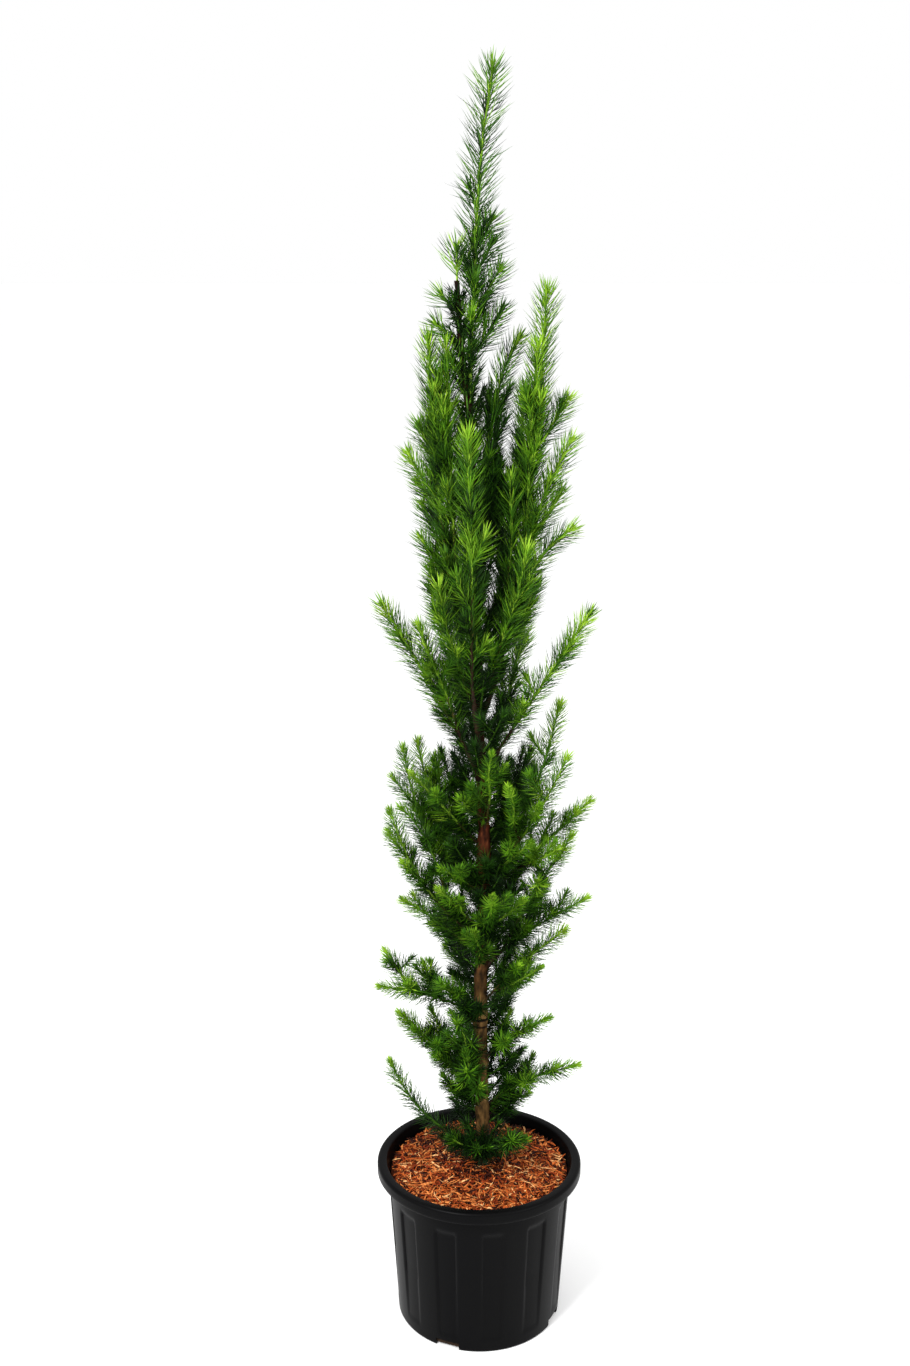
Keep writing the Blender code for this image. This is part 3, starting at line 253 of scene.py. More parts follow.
# Radii of the stems that stand in for the solids' stouter ones, by the shoot's length
SLENDER_FOOT = ((0.06, 0.15, 0.45), (0.0013, 0.0018, 0.0030))
SLENDER_SIDE = 0.0013
SLENDER_TIP = 0.0009

# Finer twigs, which only this script grows: their distance apart, their length and their lift by height
FINE_SEED = 5
FINE_START = 0.020
FINE_END = 0.022
FINE_SHARE = 0.66
FINE_STEPS = ((0.26, 0.31, 0.60, 1.00), (0.0065, 0.0085, 0.0105, 0.045))
FINE_LENGTHS = (0.033, 0.050)
FINE_SIZES = (0.65, 1.2)
FINE_SHRINK = 0.62
FINE_RADII = (0.0011, 0.0007)
FINE_LIFTS = ((0.265, 0.31, 1.00), (8.0, 42.0, 62.0))
FINE_LIFT_SPREAD = (-16, 18)
STEP_SPREAD = (0.7, 1.3)
PLAIN_FOOT = 0.2415

# Shoots of the middle crown that point toward the viewer carry fewer twigs and shorter, lighter needles; the
# lighter tone is painted light on the lit front
FRONT_REACH = -0.045
FRONT_SPAN = (0.50, 0.86)
FRONT_SHARE = 0.22
FRONT_NEEDLES = 0.70
FRONT_PAINTED_LIGHT = 0.10

# Inner shoots, which grow straight from the trunk between the boughs and fill the dark middle
INNER_SEED = 11
INNER_SPAN = (0.262, 1.395)
INNER_MOST = ((1.10, 1.21, 1.36), (0.105, 0.040, 0.022))
INNER_STEPS = ((0.30, 1.00, 1.16, 1.24), (0.0056, 0.0110, 0.0110, 0.0046))
INNER_LENGTHS = ((0.030, 0.060), (0.078, 0.105))
INNER_LIFTS = (42.0, 70.0)
INNER_LIFT_SPREAD = (-14, 14)
INNER_RADII = (0.0014, 0.0009)
FOOT_DEPTH = 0.8

# Stretches of the trunk that stand bare at the front, and how far forward a shoot there may point
BARE_STRETCHES = ((0.22, 0.445), (0.470, 0.551), (0.587, 0.606), (0.668, 0.785))
BARE_FRONT = -0.35

# Shoots of the trunk at places of their own, by kind: height, azimuth, length and lift
PLACED_INNER = (
    ("side", (
        (1.345, 186, 0.038, 42), (1.385, 172, 0.028, 48), (1.3, 200, 0.03, 60), (1.325, 20, 0.02, 60),
    )),
    ("inner", (
        (1.06, 10, 0.115, 72), (1.03, -20, 0.112, 73), (1.09, 30, 0.1, 70), (1.1, -10, 0.088, 68),
        (1.05, 60, 0.12, 72), (0.665, 150, 0.165, 68), (0.7, 125, 0.15, 68), (0.665, 40, 0.165, 68),
        (0.69, 20, 0.14, 66), (0.662, 168, 0.06, 44), (0.678, 142, 0.055, 46), (0.692, 160, 0.052, 44),
        (0.708, 185, 0.05, 46), (0.69, 30, 0.05, 46), (0.712, 12, 0.05, 46), (0.745, 160, 0.078, 62),
        (0.765, 200, 0.07, 60), (0.728, 148, 0.066, 56), (0.78, 140, 0.08, 66), (0.745, 15, 0.072, 62),
        (0.765, -22, 0.062, 60), (0.728, 42, 0.066, 54), (0.785, 50, 0.08, 66), (0.6, 25, 0.075, 50),
        (0.592, -22, 0.072, 48), (0.622, 42, 0.072, 42), (0.64, -10, 0.066, 46),
        (0.612, -100, 0.052, 38), (0.626, -68, 0.046, 42), (0.64, -118, 0.05, 40),
        (0.65, -85, 0.046, 44),
    )),
    ("fine", (
        (0.252, -118, 0.046, 44), (0.25, -70, 0.044, 40),
    )),
    ("inner", (
        (0.256, -92, 0.04, 58), (0.258, -140, 0.044, 56), (0.262, -48, 0.042, 54),
        (0.248, -160, 0.06, 26),
    )),
    ("fine", ((0.248, -25, 0.056, 28),)),
    ("inner", (
        (0.458, -95, 0.04, 35), (0.464, -130, 0.044, 35), (0.56, -105, 0.044, 38),
        (0.572, -70, 0.044, 38),
    )),
)

# Twigs at places of their own, by kind: shoot, height, azimuth, length and lift
PLACED_FINE = (
    ("fine", (
        ("right_inner", 1.15, 0, 0.07, 70), ("right_inner", 1.165, -60, 0.06, 66),
        ("right_inner", 1.19, 20, 0.07, 72), ("right_inner", 1.205, -30, 0.06, 60),
        ("right_inner", 1.225, 90, 0.06, 68), ("right_inner", 1.245, -10, 0.055, 64),
        ("left_whorl", 0.7, 20, 0.08, 76), ("left_whorl_inner", 0.72, 150, 0.075, 74),
        ("left_whorl_inner", 0.74, 0, 0.07, 72), ("right_upper", 0.7, 120, 0.09, 76),
        ("right_upper", 0.715, 60, 0.085, 74), ("left_outer_inner", 0.63, 60, 0.07, 66),
        ("left_back_low", 0.56, 80, 0.07, 62), ("right_low_front", 0.5, 120, 0.06, 60),
        ("right_inner", 1.085, 5, 0.1, 68), ("right_inner", 1.11, -15, 0.095, 70),
        ("right_inner", 1.13, 15, 0.08, 68), ("right_tall", 1.1, 190, 0.065, 66),
        ("right_tall", 1.135, 170, 0.06, 68), ("right_tall", 1.165, 200, 0.055, 68),
        ("right_tall", 1.19, 175, 0.05, 66),
    )),
    ("side", (
        ("left_outer", 1.2, -20, 0.07, 74), ("left_outer", 1.235, -90, 0.06, 74),
        ("left_outer", 1.265, 10, 0.055, 74), ("left_tall", 1.18, 200, 0.07, 76),
        ("left_tall", 1.22, -120, 0.06, 74), ("left_tall", 1.26, 180, 0.05, 74),
    )),
)

# Needles: their length, angle to the shoot, half width and distance apart at a row of heights
NEEDLE_SEED = 17
NEEDLE_HEIGHTS = (0.30, 0.80, 1.02, 1.35, 1.50)
NEEDLE_LENGTHS = (0.0260, 0.0255, 0.033, 0.034, 0.040)
NEEDLE_ANGLES = (52.0, 50.0, 39.0, 38.0, 46.0)
NEEDLE_WIDTHS = (0.00056, 0.00060, 0.00074, 0.00076, 0.00084)
NEEDLE_STEPS = (0.00036, 0.00042, 0.00064, 0.00062, 0.00078)
NEEDLE_SIZE = {"shoot": 1.0, "side": 0.95, "fine": 0.84, "inner": 0.95}
INNER_NEEDLES = ((1.12, 1.22), (1.0, 0.58))
NEEDLE_KEEL = 0.85
NEEDLE_START = 0.005
NEEDLE_FIRST = 0.001
NEEDLE_LEAST = 4
NEEDLE_DEPTH = 0.7
NEEDLE_FLAT = (0.75, 1.0)
NEEDLE_WIDE = (1.0, 0.65)
SPRAY_LENGTH = 0.005

# How single needles differ: least and greatest size, and spreads of place, turn, angle, curl and sway
NEEDLE_SIZES = (0.80, 1.10)
NEEDLE_SHUFFLE = 0.4
NEEDLE_TURN = 10
NEEDLE_LEAN = 6
NEEDLE_CURL = (14.0, 7)
NEEDLE_SWAY = 0.10

# Toward a shoot's tip the needles get shorter and lie closer: over what stretch, and how much
TIP_STRETCH = 0.027
TIP_SHARE = 0.35
NEEDLE_ANGLE_TIP = 24.0
NEEDLE_SHORT = (0.42, 0.62)

# How near the trunk a needle may start, and how squarely it may point into it from close by
TRUNK_ROOM = 0.002
TRUNK_FAR = 0.014
INWARD_MOST = 0.4

# A full needle has a foot, a ring and a tip; a slim one, for the inside of the crown, only a foot and a tip.
# Each ring is told by its place along the needle and its width.
NeedleShape = namedtuple("NeedleShape", "kind rings points triangles")
FULL = NeedleShape("full", ((0.0, 0.75), (0.55, 1.0)), 7, 10)
SLIM = NeedleShape("slim", ((0.0, 1.25),), 4, 4)
TRIANGLES_PER_PIECE = 190000

# Short needles close round a shoot's tip, and along the stem of the tall shoots and of those in front
TUFT_COUNT = 22
TUFT_LENGTH = 0.0105
TUFT_ROOM = 0.009
TUFT_LEAN = (6.0, 46.0)
TUFT_SIZES = (0.65, 1.15)
CORE_FROM = 0.86
CORE_START = 0.35
CORE_END = 0.004
CORE_STEP = 0.0019
CORE_LENGTHS = ((0.80, 0.95), (0.009, 0.015))
CORE_SIZES = (0.7, 1.1)
CORE_LEAN = (8.0, 24.0)
CORE_LIGHT = 0.16

# How light a spray is, from 0 to 1: for each kind of shoot its plain light and what its tip and the crown's
# outside add, then what the height adds and how much of a tip's light shows there. Tips are lighter partly as
# young growth and partly as painted light; the light at the crown's top and outside is painted light, and the
# darker inner shoots and low crown are painted shade
KIND_LIGHT = {
    "shoot": (0.13, 0.40, 0.37),
    "side": (0.10, 0.36, 0.34),
    "fine": (0.0, 0.13, 0.24),
    "inner": (-0.14, 0.08, 0.20),
}
PAINTED_HEIGHT_LIGHT = (
    (0.25, 0.31, 0.55, 0.80, 1.05, 1.30, 1.50),
    (-0.28, 0.03, 0.08, 0.14, 0.16, 0.17, 0.07),
)
TIP_SHOWS = (
    (0.26, 0.30, 0.60, 0.80, 1.00, 1.30, 1.60),
    (0.50, 0.86, 0.68, 0.74, 0.82, 0.66, 0.45),
)
TIP_GLOW = 0.025
SPRAY_SPREAD = 0.17
OUTSIDE_MOST = 1.1
CROWN_HEIGHTS = (0.22, 1.74, 0.05)
CROWN_LEAST = 0.02

# Needles on older wood stand in rosettes: how far apart on the trunk and limbs, and how many in one
ROSETTE_STEP = 0.0034
ROSETTE_FOOT = 0.004
ROSETTE_LINE_STEP = 0.01
ROSETTE_LINE_POINTS = 119
LIMB_ROSETTE_STEP = 0.0019
LIMB_ROSETTE_START = 0.15
ROSETTE_NEEDLES = 16
ROSETTE_COUNTS = (0.6, 1.2)
ROSETTE_LENGTH = 0.020
ROSETTE_SIZES = (0.6, 1.15)
ROSETTE_LEAN = (15, 70)
ROSETTE_RISE = (0, 0, 0.35)
ROSETTE_LIGHT = 0.05
ROSETTE_LIGHT_SPREAD = (0.10, 0.10)

# Colours of the needles from the darkest to the lightest, partly from the oldest to the youngest and partly
# by painted shade and painted light, as sRGB from 0 to 255, with the share of light that each begins at
NEEDLE_COLOURS = (
    ("needles_deep", (10, 30, 4), -9.0),
    ("needles_dark", (26, 57, 7), 0.16),
    ("needles_mid", (49, 90, 13), 0.34),
    ("needles_fresh", (78, 122, 18), 0.52),
    ("needles_bright", (108, 151, 30), 0.70),
    ("needles_tip", (142, 180, 48), 0.88),
)

# Tubes: sides, distance between rings, depth of their ridges and how fast these wind; how a tip closes
STEM_TUBE = (9, 0.004, 0.12, 700)
LIMB_TUBE = (14, 0.0022, 0.10, 420)
LIMB_OVERLAP = 0.01
LIMB_SWELL = 1.12
TIP_LEAST = 0.04
TIP_POWER = 12

# Stems: light and dark tone of each age, and the share of a shoot that is brown, then olive; young stems of
# shoots that point to the front take a lighter green as painted light
STEM_COLOURS = {
    "stem_brown": ((52, 33, 20), (26, 16, 10)),
    "stem_olive": ((84, 80, 34), (52, 52, 22)),
    "stem_green": ((84, 128, 34), (50, 90, 22)),
    "stem_bright": ((142, 180, 54), (104, 146, 36)),
}
BROWN_SHARE = 0.16
BROWN_BY_HEIGHT = (1.0, 1.6)
OLIVE_SHARE = 0.18
TALL_FOOT = 0.80
FRONT_LIT_BEFORE = 0.02

# Bark relief on the trunk: random grids of plates, grain and fibres, and what stands out from them
BARK_SEED = 31
BARK_SIDES = 40
BARK_RING = 0.0022
PLATE_GRID = (90, 9)
PLATE_WAVE = (0.03, 40)
GRAIN_GRID = (420, 22)
FIBRE_GRID = (560, 40)
FIBRE_SHARE = 0.6
BARK_PLATE = 0.00055
BARK_GRAIN = 0.00022
BARK_THICK = (0.2, 1.2)
COLLAR_SIZE = 0.0016
COLLAR_RISE = 0.004
COLLAR_HEIGHT = 0.007
SWELLING_HEIGHT = 0.675
SWELLING_LENGTH = 0.030
SWELLING_AZIMUTH = 195.0
SWELLING_SIZE = 0.0045
KNOT_RELIEF = 0.0036
KNOT_GROOVES = ((-0.15, 0.0016), (-1.30, 0.0012))
GROOVE_WIDTH = 0.16
GROOVE_WAVE = 0.4
BARK_LOW = ((0.30, (28, 23, 13)), (0.43, (68, 54, 30)), (0.57, (106, 84, 50)), (0.74, (150, 122, 80)))
BARK_HIGH = ((0.30, (20, 10, 6)), (0.43, (56, 28, 16)), (0.58, (94, 50, 30)), (0.75, (136, 84, 54)))
BARK_TINT = ((0.36, (150, 134, 100)), (0.60, (255, 236, 220)))
TINT_SHARE = 0.8
BARK_CHANGE = (0.46, 0.60)
# Painted shade on the bark: darker at the foot among the low tufts and from under the crown upwards
SHADE_STRETCH = (0.24, 0.80)
PLAIN = (255, 255, 255)
BARK_SHADE = ((0.0, (172, 150, 126)), (0.14, PLAIN), (0.84, PLAIN), (1.0, (136, 134, 112)))
# Painted shade in the knot's two grooves: dark rings at the heights of the grooves
KNOT_STRETCH = (0.4265, 0.4505)
GROOVE_SHADE_DARK = (42, 32, 23)
GROOVE_SHADE_SOFT = (92, 74, 56)
KNOT_GROOVE_SHADE = (
    (0.14, PLAIN),
    (0.21, GROOVE_SHADE_SOFT),
    (0.26, GROOVE_SHADE_SOFT),
    (0.33, PLAIN),
    (0.58, PLAIN),
    (0.66, GROOVE_SHADE_DARK),
    (0.78, GROOVE_SHADE_DARK),
    (0.84, PLAIN),
)

# Bark mulch: chips by kind, as count, least and greatest length, width and thickness
CHIP_SEED = 41
CHIP_KINDS = (
    (4200, (0.005, 0.014), (0.0008, 0.0026), (0.0003, 0.0010)),
    (1600, (0.011, 0.024), (0.0008, 0.0028), (0.0004, 0.0010)),
    (320, (0.019, 0.036), (0.0009, 0.0018), (0.0004, 0.0009)),
)
CHIP_COLOURS = (
    ("mulch_orange", (172, 82, 31), 0.31),
    ("mulch_rust", (124, 46, 15), 0.28),
    ("mulch_dark", (46, 15, 7), 0.16),
    ("mulch_tan", (206, 124, 64), 0.18),
    ("mulch_pale", (236, 176, 116), 0.07),
)
# Painted shade on the mulch: the dark chips that fall near the trunk and at the back of the pot, and how
# often they do
PAINTED_SHADE_CHIP = "mulch_dark"
SHADE_MIDDLE = 0.60
SHADE_REACH = 0.050
SHADE_BACK = 0.40
SHADE_FROM = 0.060
CHIP_WALL = 0.002
CHIP_INSET = 0.32
CHIP_CLEAR = 0.011
CHIP_RISE = 0.001
CHIP_LAYERS = 0.0055
CHIP_SETTLE = 1.3
CHIP_ROLL = 22.0
CHIP_PITCH = CHIP_ROLL * 0.6
CHIP_PLACES = (-0.5, -0.2, 0.2, 0.5)
CHIP_BEND = 0.10
CHIP_ARCH = 0.05
CHIP_TAPER = 0.75
CHIP_HALF_WIDTHS = (0.8, 1.15)
CHIP_HALF_DEPTHS = (0.7, 1.2)
CORNER_WIDTHS = (0.85, 1.1)
CORNER_DEPTHS = (0.8, 1.15)

# Pot surface: how many points round it and rings up its wall, and how its edges and flutes are eased
POT_SEGMENTS = 360
POT_RINGS = 90
BEVEL_MIDDLE = 0.3
WALL_END = 0.003
NECK_RISE = 0.002
CEILING_EDGE = 0.001
SKIRT_EDGE = 0.0006
RIM_EDGE = 0.0007
RIM_RISES = (0.0012, 0.004)
RIM_INNER_ROUND = 0.0028
ROUND_STEPS = 8
INSIDE_HEIGHTS = (POT_HEIGHT - RIM_SKIRT, 0.10, 0.004)
FLUTE_HALF = 0.25
FLUTE_EASE = 0.055
FLUTE_END = 0.010
FLUTE_START = 0.09
FLUTE_LOW = 0.25
FLUTE_ONSET = 12
CUTTER_BELOW = 0.001
SHARP_ANGLE = 35

# Finishes: roughness, specular level, the grain's scale, detail and stretch, the two places of its colour
# ramp, and the strength and depth of its bump
Grain = namedtuple("Grain", "roughness specular scale detail stretch ramp bump")
NEEDLE_GRAIN = Grain(0.55, 0.12, 38.0, 2.0, (1, 1, 1), (0.32, 0.68), None)
STEM_GRAIN = Grain(0.62, 0.15, 260.0, 5.0, (1, 1, 0.35), (0.35, 0.62), (0.5, 0.0006))
CHIP_GRAIN = Grain(0.72, 0.12, 420.0, 4.0, (1, 0.5, 1), (0.34, 0.60), (0.6, 0.0008))
SOIL_GRAIN = Grain(0.95, 0.1, 300.0, 6.0, (1, 1, 1), (0.35, 0.65), (1.0, 0.002))
DUST_GRAIN = Grain(0.36, 0.04, 9.0, 5.0, (1, 1, 0.25), (0.35, 0.75), None)
FLOOR_GRAIN = Grain(0.9, 0.1, 3.0, 4.0, (1, 1, 1), (0.3, 0.7), None)
NEEDLE_TONES = (0.86, 1.10)
CHIP_TONES = (0.66, 1.10)
BARK_GLOSS = (0.85, 0.1)
BARK_BUMP = (0.8, 0.0012)
PLATE_NOISE = (150.0, 6.0, (1, 1, 0.38))
PATCH_NOISE = (22.0, 3.0, (1, 1, 0.6))
PLASTIC_COLOURS = ((5, 5, 6), (9, 9, 9))
PLASTIC_ROUGHNESS = (0.30, 0.46)
PLASTIC_NOISE = (900.0, 2.0)
PLASTIC_BUMP = (0.10, 0.0004)
MULCH_BED_COLOURS = ((30, 12, 7), (84, 36, 16))
SOIL_COLOURS = ((26, 20, 15), (58, 44, 33))
FLOOR_COLOURS = ((246, 246, 246), (249, 249, 249))

# Stage: the camera as fitted to the photograph, the floor, and the place, target, size and power of lights
CAMERA_PLACE = (-0.0336, -2.002, 1.441)
CAMERA_DOWN = 14.69
FRAME_HEIGHT = 1366
FOCAL_PIXELS = 1603
SENSOR = 36.0
FLOOR_HALF = 120.0
FLOOR_DROP = -0.0005
FLOOR_GLOW = 0.07
WHITE = (1.0, 1.0, 1.0, 1.0)
LIGHTS = {
    "key_light": ((-1.6, -2.2, 3.2), (0, 0, 0.9), 1.0, 150.0),
    "fill_light": ((2.2, -1.4, 2.0), (0, 0, 0.8), 1.4, 36.0),
}


# Arrays of points and directions


def rows_of(vectors):
    """Vectors as the rows of an array."""
    return np.array([tuple(v) for v in vectors])


def unit_rows(rows):
    """The rows of an array, scaled to length one."""
    return rows / np.linalg.norm(rows, axis=1, keepdims=True)


def turned(first, second, angle):
    """Directions at angles from the first towards the second."""
    return first * np.cos(angle)[:, None] + second * np.sin(angle)[:, None]


def gaps_between(points, others):
    """The distance from each point to each of the others."""
    return np.sqrt(((points[:, None, :] - others[None, :, :]) ** 2).sum(axis=2))


# The growing rule, the same as the solids'


def smooth_line(points, values, at):
    """A smooth curve through values at the given points, read at one place."""
    i = max(0, min(len(points) - 2, int(np.searchsorted(points, at)) - 1))
    width = points[i + 1] - points[i]
    t = (at - points[i]) / width
    before = max(i - 1, 0)
    after = min(i + 2, len(points) - 1)
    slope_a = (values[i + 1] - values[before]) / (points[i + 1] - points[before]) * width
    slope_b = (values[after] - values[i]) / (points[after] - points[i]) * width
    return (
        values[i] * (2 * t**3 - 3 * t**2 + 1)
        + slope_a * (t**3 - 2 * t**2 + t)
        + values[i + 1] * (3 * t**2 - 2 * t**3)
        + slope_b * (t**3 - t**2)
    )


def trunk_centre(height):
    """The trunk's centre at a height."""
    x, y = (smooth_line(TRUNK_HEIGHTS, column, height) for column in (TRUNK_XS, TRUNK_YS))
    return Vector((x, y, height))


def trunk_radius(height):
    """The trunk's radius at a height, with its root flare."""
    left = max(0.0, (TRUNK_TOP - height) / (TRUNK_TOP - TRUNK_FOOT))
    taper = TRUNK_TIP_RADIUS + (TRUNK_FOOT_RADIUS - TRUNK_TIP_RADIUS) * left**TRUNK_TAPER
    return taper + FLARE * math.exp(-(height - TRUNK_FOOT) / FLARE_HEIGHT)


def wall_radius(height):
    """Outer radius of the pot's wall, which widens evenly to the neck."""
    return POT_BASE_RADIUS + (POT_NECK_RADIUS - POT_BASE_RADIUS) * height / (POT_HEIGHT - RIM_SKIRT)


def inner_radius(height):
    """Inner radius of the pot's wall, clear of the flutes."""
    return wall_radius(height) - POT_WALL - FLUTE_DEPTH * 0.5


def mulch_height(radius):
    """The mulch's even height at a distance from the pot's axis, before its lumps."""
    edge = inner_radius(MULCH_EDGE)
    share = min(1.0, max(0.0, (radius - MULCH_FLAT) / (edge - MULCH_FLAT)))
    return MULCH_CROWN + (MULCH_EDGE - MULCH_CROWN) * share**MULCH_CURVE


def seed_of(name):
    """A seed from a name, the same on each run."""
    return sum((i + 1) * ord(letter) for i, letter in enumerate(name))


def unit(azimuth):
    """The level direction at an azimuth."""
    turn = math.radians(azimuth)
    return Vector((math.cos(turn), math.sin(turn), 0))


def by_height(height, low, high):
    """A value that runs from low to high between the two named heights."""
    share = (height - LOW_HEIGHT) / (HIGH_HEIGHT - LOW_HEIGHT)
    return low + (high - low) * np.clip(share, 0.0, 1.0)


def point_at_height(path, height):
    """The point of a rising path at a height."""
    for a, b in zip(path, path[1:]):
        if b.z >= height:
            return a.lerp(b, (height - a.z) / max(b.z - a.z, LEAST_RISE))
    return path[-1]


def shoot_path(shoot, paths):
    """The line of a shoot: it swings out by its bow, rises to its tip and sways a little."""
    if shoot.parent == "trunk":
        foot = trunk_centre(shoot.foot)
    else:
        foot = point_at_height(paths[shoot.parent], shoot.foot)
    out = unit(shoot.azimuth) * shoot.reach
    rise = Vector((0, 0, shoot.tip - foot.z))
    bend = foot + out * (0.5 + shoot.bow) + rise * (0.5 - shoot.bow)
    tip = foot + out + rise
    across = unit(shoot.azimuth + 90)
    phase = random.Random(seed_of(shoot.name)).uniform(0, FULL_TURN)
    path = []
    for i in range(PATH_POINTS):
        t = i / (PATH_POINTS - 1)
        point = foot * (1 - t) ** 2 + bend * 2 * t * (1 - t) + tip * t**2
        sway = SWAY * math.sin(FULL_TURN * t + phase) * math.sin(math.pi * t)
        path.append(point + across * sway)
    return path


def twig_path(base, azimuth, length, lift):
    """The line of a side shoot, which turns up a little towards its tip."""
    level = unit(azimuth) * length * math.cos(lift)
    rise = Vector((0, 0, length * math.sin(lift)))
    return [base + level * u + rise * u**TWIG_CURVE for u in TWIG_PLACES]


def spaced(points):
    """How far along a line each of its points lies."""
    return np.concatenate([[0.0], np.cumsum(np.linalg.norm(np.diff(points, axis=0), axis=1))])


def read_rows(rows, ends, places):
    """The rows of an array that stand at the given ends, read at places between them."""
    return np.stack([np.interp(places, ends, column) for column in rows.T], axis=1)


def part_of(path, start, end):
    """The stretch of a path between two shares of its length, as a number of points in even steps."""
    points = rows_of(path)
    ends = spaced(points)
    places = np.linspace(ends[-1] * start, ends[-1] * end, PATH_POINTS)
    return [Vector(row) for row in read_rows(points, ends, places)]


def path_length(path):
    """The length of a line of points."""
    return sum((b - a).length for a, b in zip(path, path[1:]))


def mass_of(name):
    """The name of the bough whose mass a shoot belongs to."""
    while PARENTS[name] != "trunk":
        name = PARENTS[name]
    return name


def wanted_twigs(shoot, path):
    """Each side shoot that the rule gives for a shoot, as its foot, azimuth, length and lift."""
    chance = random.Random(seed_of(shoot.name) + 1)
    placed = PLACED_SIDES.get(shoot.name, ())
    found = [(point_at_height(path, z), azimuth, length) for z, azimuth, length in placed]
    start = max(SIDE_FIRST, shoot.bare + SIDE_PAST_LIMB)
    for i, azimuth in enumerate(shoot.sides):
        t = start + (SIDE_LAST - start) * (i + 0.5) / len(shoot.sides)
        base = path[int(round(t * (PATH_POINTS - 1)))]
        shrink = 1 - SIDE_SHRINK * (t - start) / (1 - start)
        spread = chance.uniform(1 - TWIG_SPREAD, 1 + TWIG_SPREAD)
        found.append((base, azimuth, shoot.twig * shrink * spread))
    twigs = []
    for base, azimuth, length in found:
        lift = by_height(base.z, LIFT_LOW, LIFT_HIGH) + chance.uniform(-LIFT_SPREAD, LIFT_SPREAD)
        twigs.append((base, azimuth, length, math.radians(lift)))
    return twigs


def sampled(path):
    """Points close together along a line, as an array."""
    points = []
    for a, b in zip(path, path[1:]):
        count = max(1, int((b - a).length / SAMPLE_STEP))
        points += [a.lerp(b, i / count) for i in range(count)]
    return rows_of(points + [path[-1]])


def limb_room(points, own_limb, limbs, thickness):
    """Whether points keep clear of the trunk, of every limb, of the mulch and of the pot's rim."""
    for name, (centres, radii) in limbs.items():
        margin = thickness if name == own_limb else thickness + LIMB_MARGIN
        if (gaps_between(points, centres) - radii[None, :]).min() < margin:
            return False
    out = np.hypot(points[:, 0], points[:, 1])
    ground = np.array([mulch_height(r) for r in out]) + MULCH_LUMP + GROUND_MARGIN + thickness
    near_rim = (out > RIM_INNER_RADIUS - RIM_NEAR) & (points[:, 2] < POT_HEIGHT + RIM_MARGIN + thickness)
    return not (near_rim | (points[:, 2] < ground)).any()


def limb_shapes(paths):
    """Centres and radii of the trunk and of each limb, close together, for the tests of room."""
    heights = np.arange(TRUNK_FOOT, TRUNK_TOP, SAMPLE_STEP)
    radii = np.array([trunk_radius(z) + TRUNK_SKIN for z in heights])
    shapes = {"trunk": (rows_of(trunk_centre(z) for z in heights), radii)}
    for shoot in SHOOTS:
        if shoot.bare:
            line = sampled(part_of(paths[shoot.name], 0.0, shoot.bare))
            shapes[shoot.name] = (line, np.full(len(line), LIMB_FOOT_RADIUS))
    return shapes


def stems_of_masses(paths, limbs):
    """For each mass, the lines of its stems and of the side shoots that have room in its own space."""
    mains = {}
    for shoot in SHOOTS:
        path = paths[shoot.name]
        start = shoot.bare + GAP / path_length(path) if shoot.bare else 0.0
        mains.setdefault(mass_of(shoot.name), []).append(part_of(path, start, 1.0))
    cores = {name: np.concatenate([sampled(p) for p in lines]) for name, lines in mains.items()}
    twigs = {name: [] for name in mains}
    for shoot in SHOOTS:
        name = mass_of(shoot.name)
        others = np.concatenate([cores[n] for n in cores if n != name])
        for base, azimuth, length, lift in wanted_twigs(shoot, paths[shoot.name]):
            for share in TWIG_TRIES:
                if length * share < LEAST_TWIG:
                    break
                line = twig_path(base, azimuth, length * share, lift)
                free = sampled(line)[2:]
                apart = gaps_between(free, others).min(axis=1) - gaps_between(free, cores[name]).min(axis=1)
                if apart.min() > SHARE_MARGIN and limb_room(free, name, limbs, TWIG_FOOT_RADIUS):
                    twigs[name].append(line)
                    break
    return mains, twigs


# Finer growth


Stem = namedtuple("Stem", "line foot tip kind")


def coarse_stems(paths, limbs):
    """The shoots and side shoots that the solids have too: the longer a shoot, the stouter its foot."""
    mains, twigs = stems_of_masses(paths, limbs)
    stems = []
    for name, lines in mains.items():
        for line in lines:
            stems.append(Stem(line, float(np.interp(path_length(line), *SLENDER_FOOT)), SLENDER_TIP, "shoot"))
        stems += [Stem(line, SLENDER_SIDE, SLENDER_TIP, "side") for line in twigs[name]]
    return stems


def in_front(stem):
    """Whether a shoot of the middle crown points toward the viewer."""
    return stem.line[-1].y < FRONT_REACH and FRONT_SPAN[0] < stem.line[-1].z < FRONT_SPAN[1]


def fine_stems(stems, limbs):
    """Short twigs all along the shoots and side shoots, where they keep clear of trunk and mulch."""
    chance = random.Random(FINE_SEED)
    found = []
    for stem in stems:
        length = path_length(stem.line)
        step = np.interp(stem.line[len(stem.line) // 2].z, *FINE_STEPS)
        place = FINE_START + chance.uniform(0.0, step)
        azimuth = chance.uniform(0, 360)
        if stem.line[0].z < PLAIN_FOOT:
            continue
        most = FRONT_SHARE if in_front(stem) else FINE_SHARE
        while place < min(length - FINE_END, length * most):
            base, ahead, _, _ = along(stem.line, np.array([place]))
            out = math.degrees(math.atan2(ahead[0][1], ahead[0][0]))
            shrink = 1 - FINE_SHRINK * place / length
            size = by_height(base[0][2], *FINE_LENGTHS) * shrink * chance.uniform(*FINE_SIZES)
            lift = math.radians(np.interp(base[0][2], *FINE_LIFTS) + chance.uniform(*FINE_LIFT_SPREAD))
            line = twig_path(Vector(base[0]), out + azimuth, size, lift)
            if limb_room(sampled(line)[1:], None, limbs, FINE_RADII[0]):
                found.append(Stem(line, *FINE_RADII, "fine"))
            place += step * chance.uniform(*STEP_SPREAD)
            azimuth += GOLDEN_ANGLE
    return found


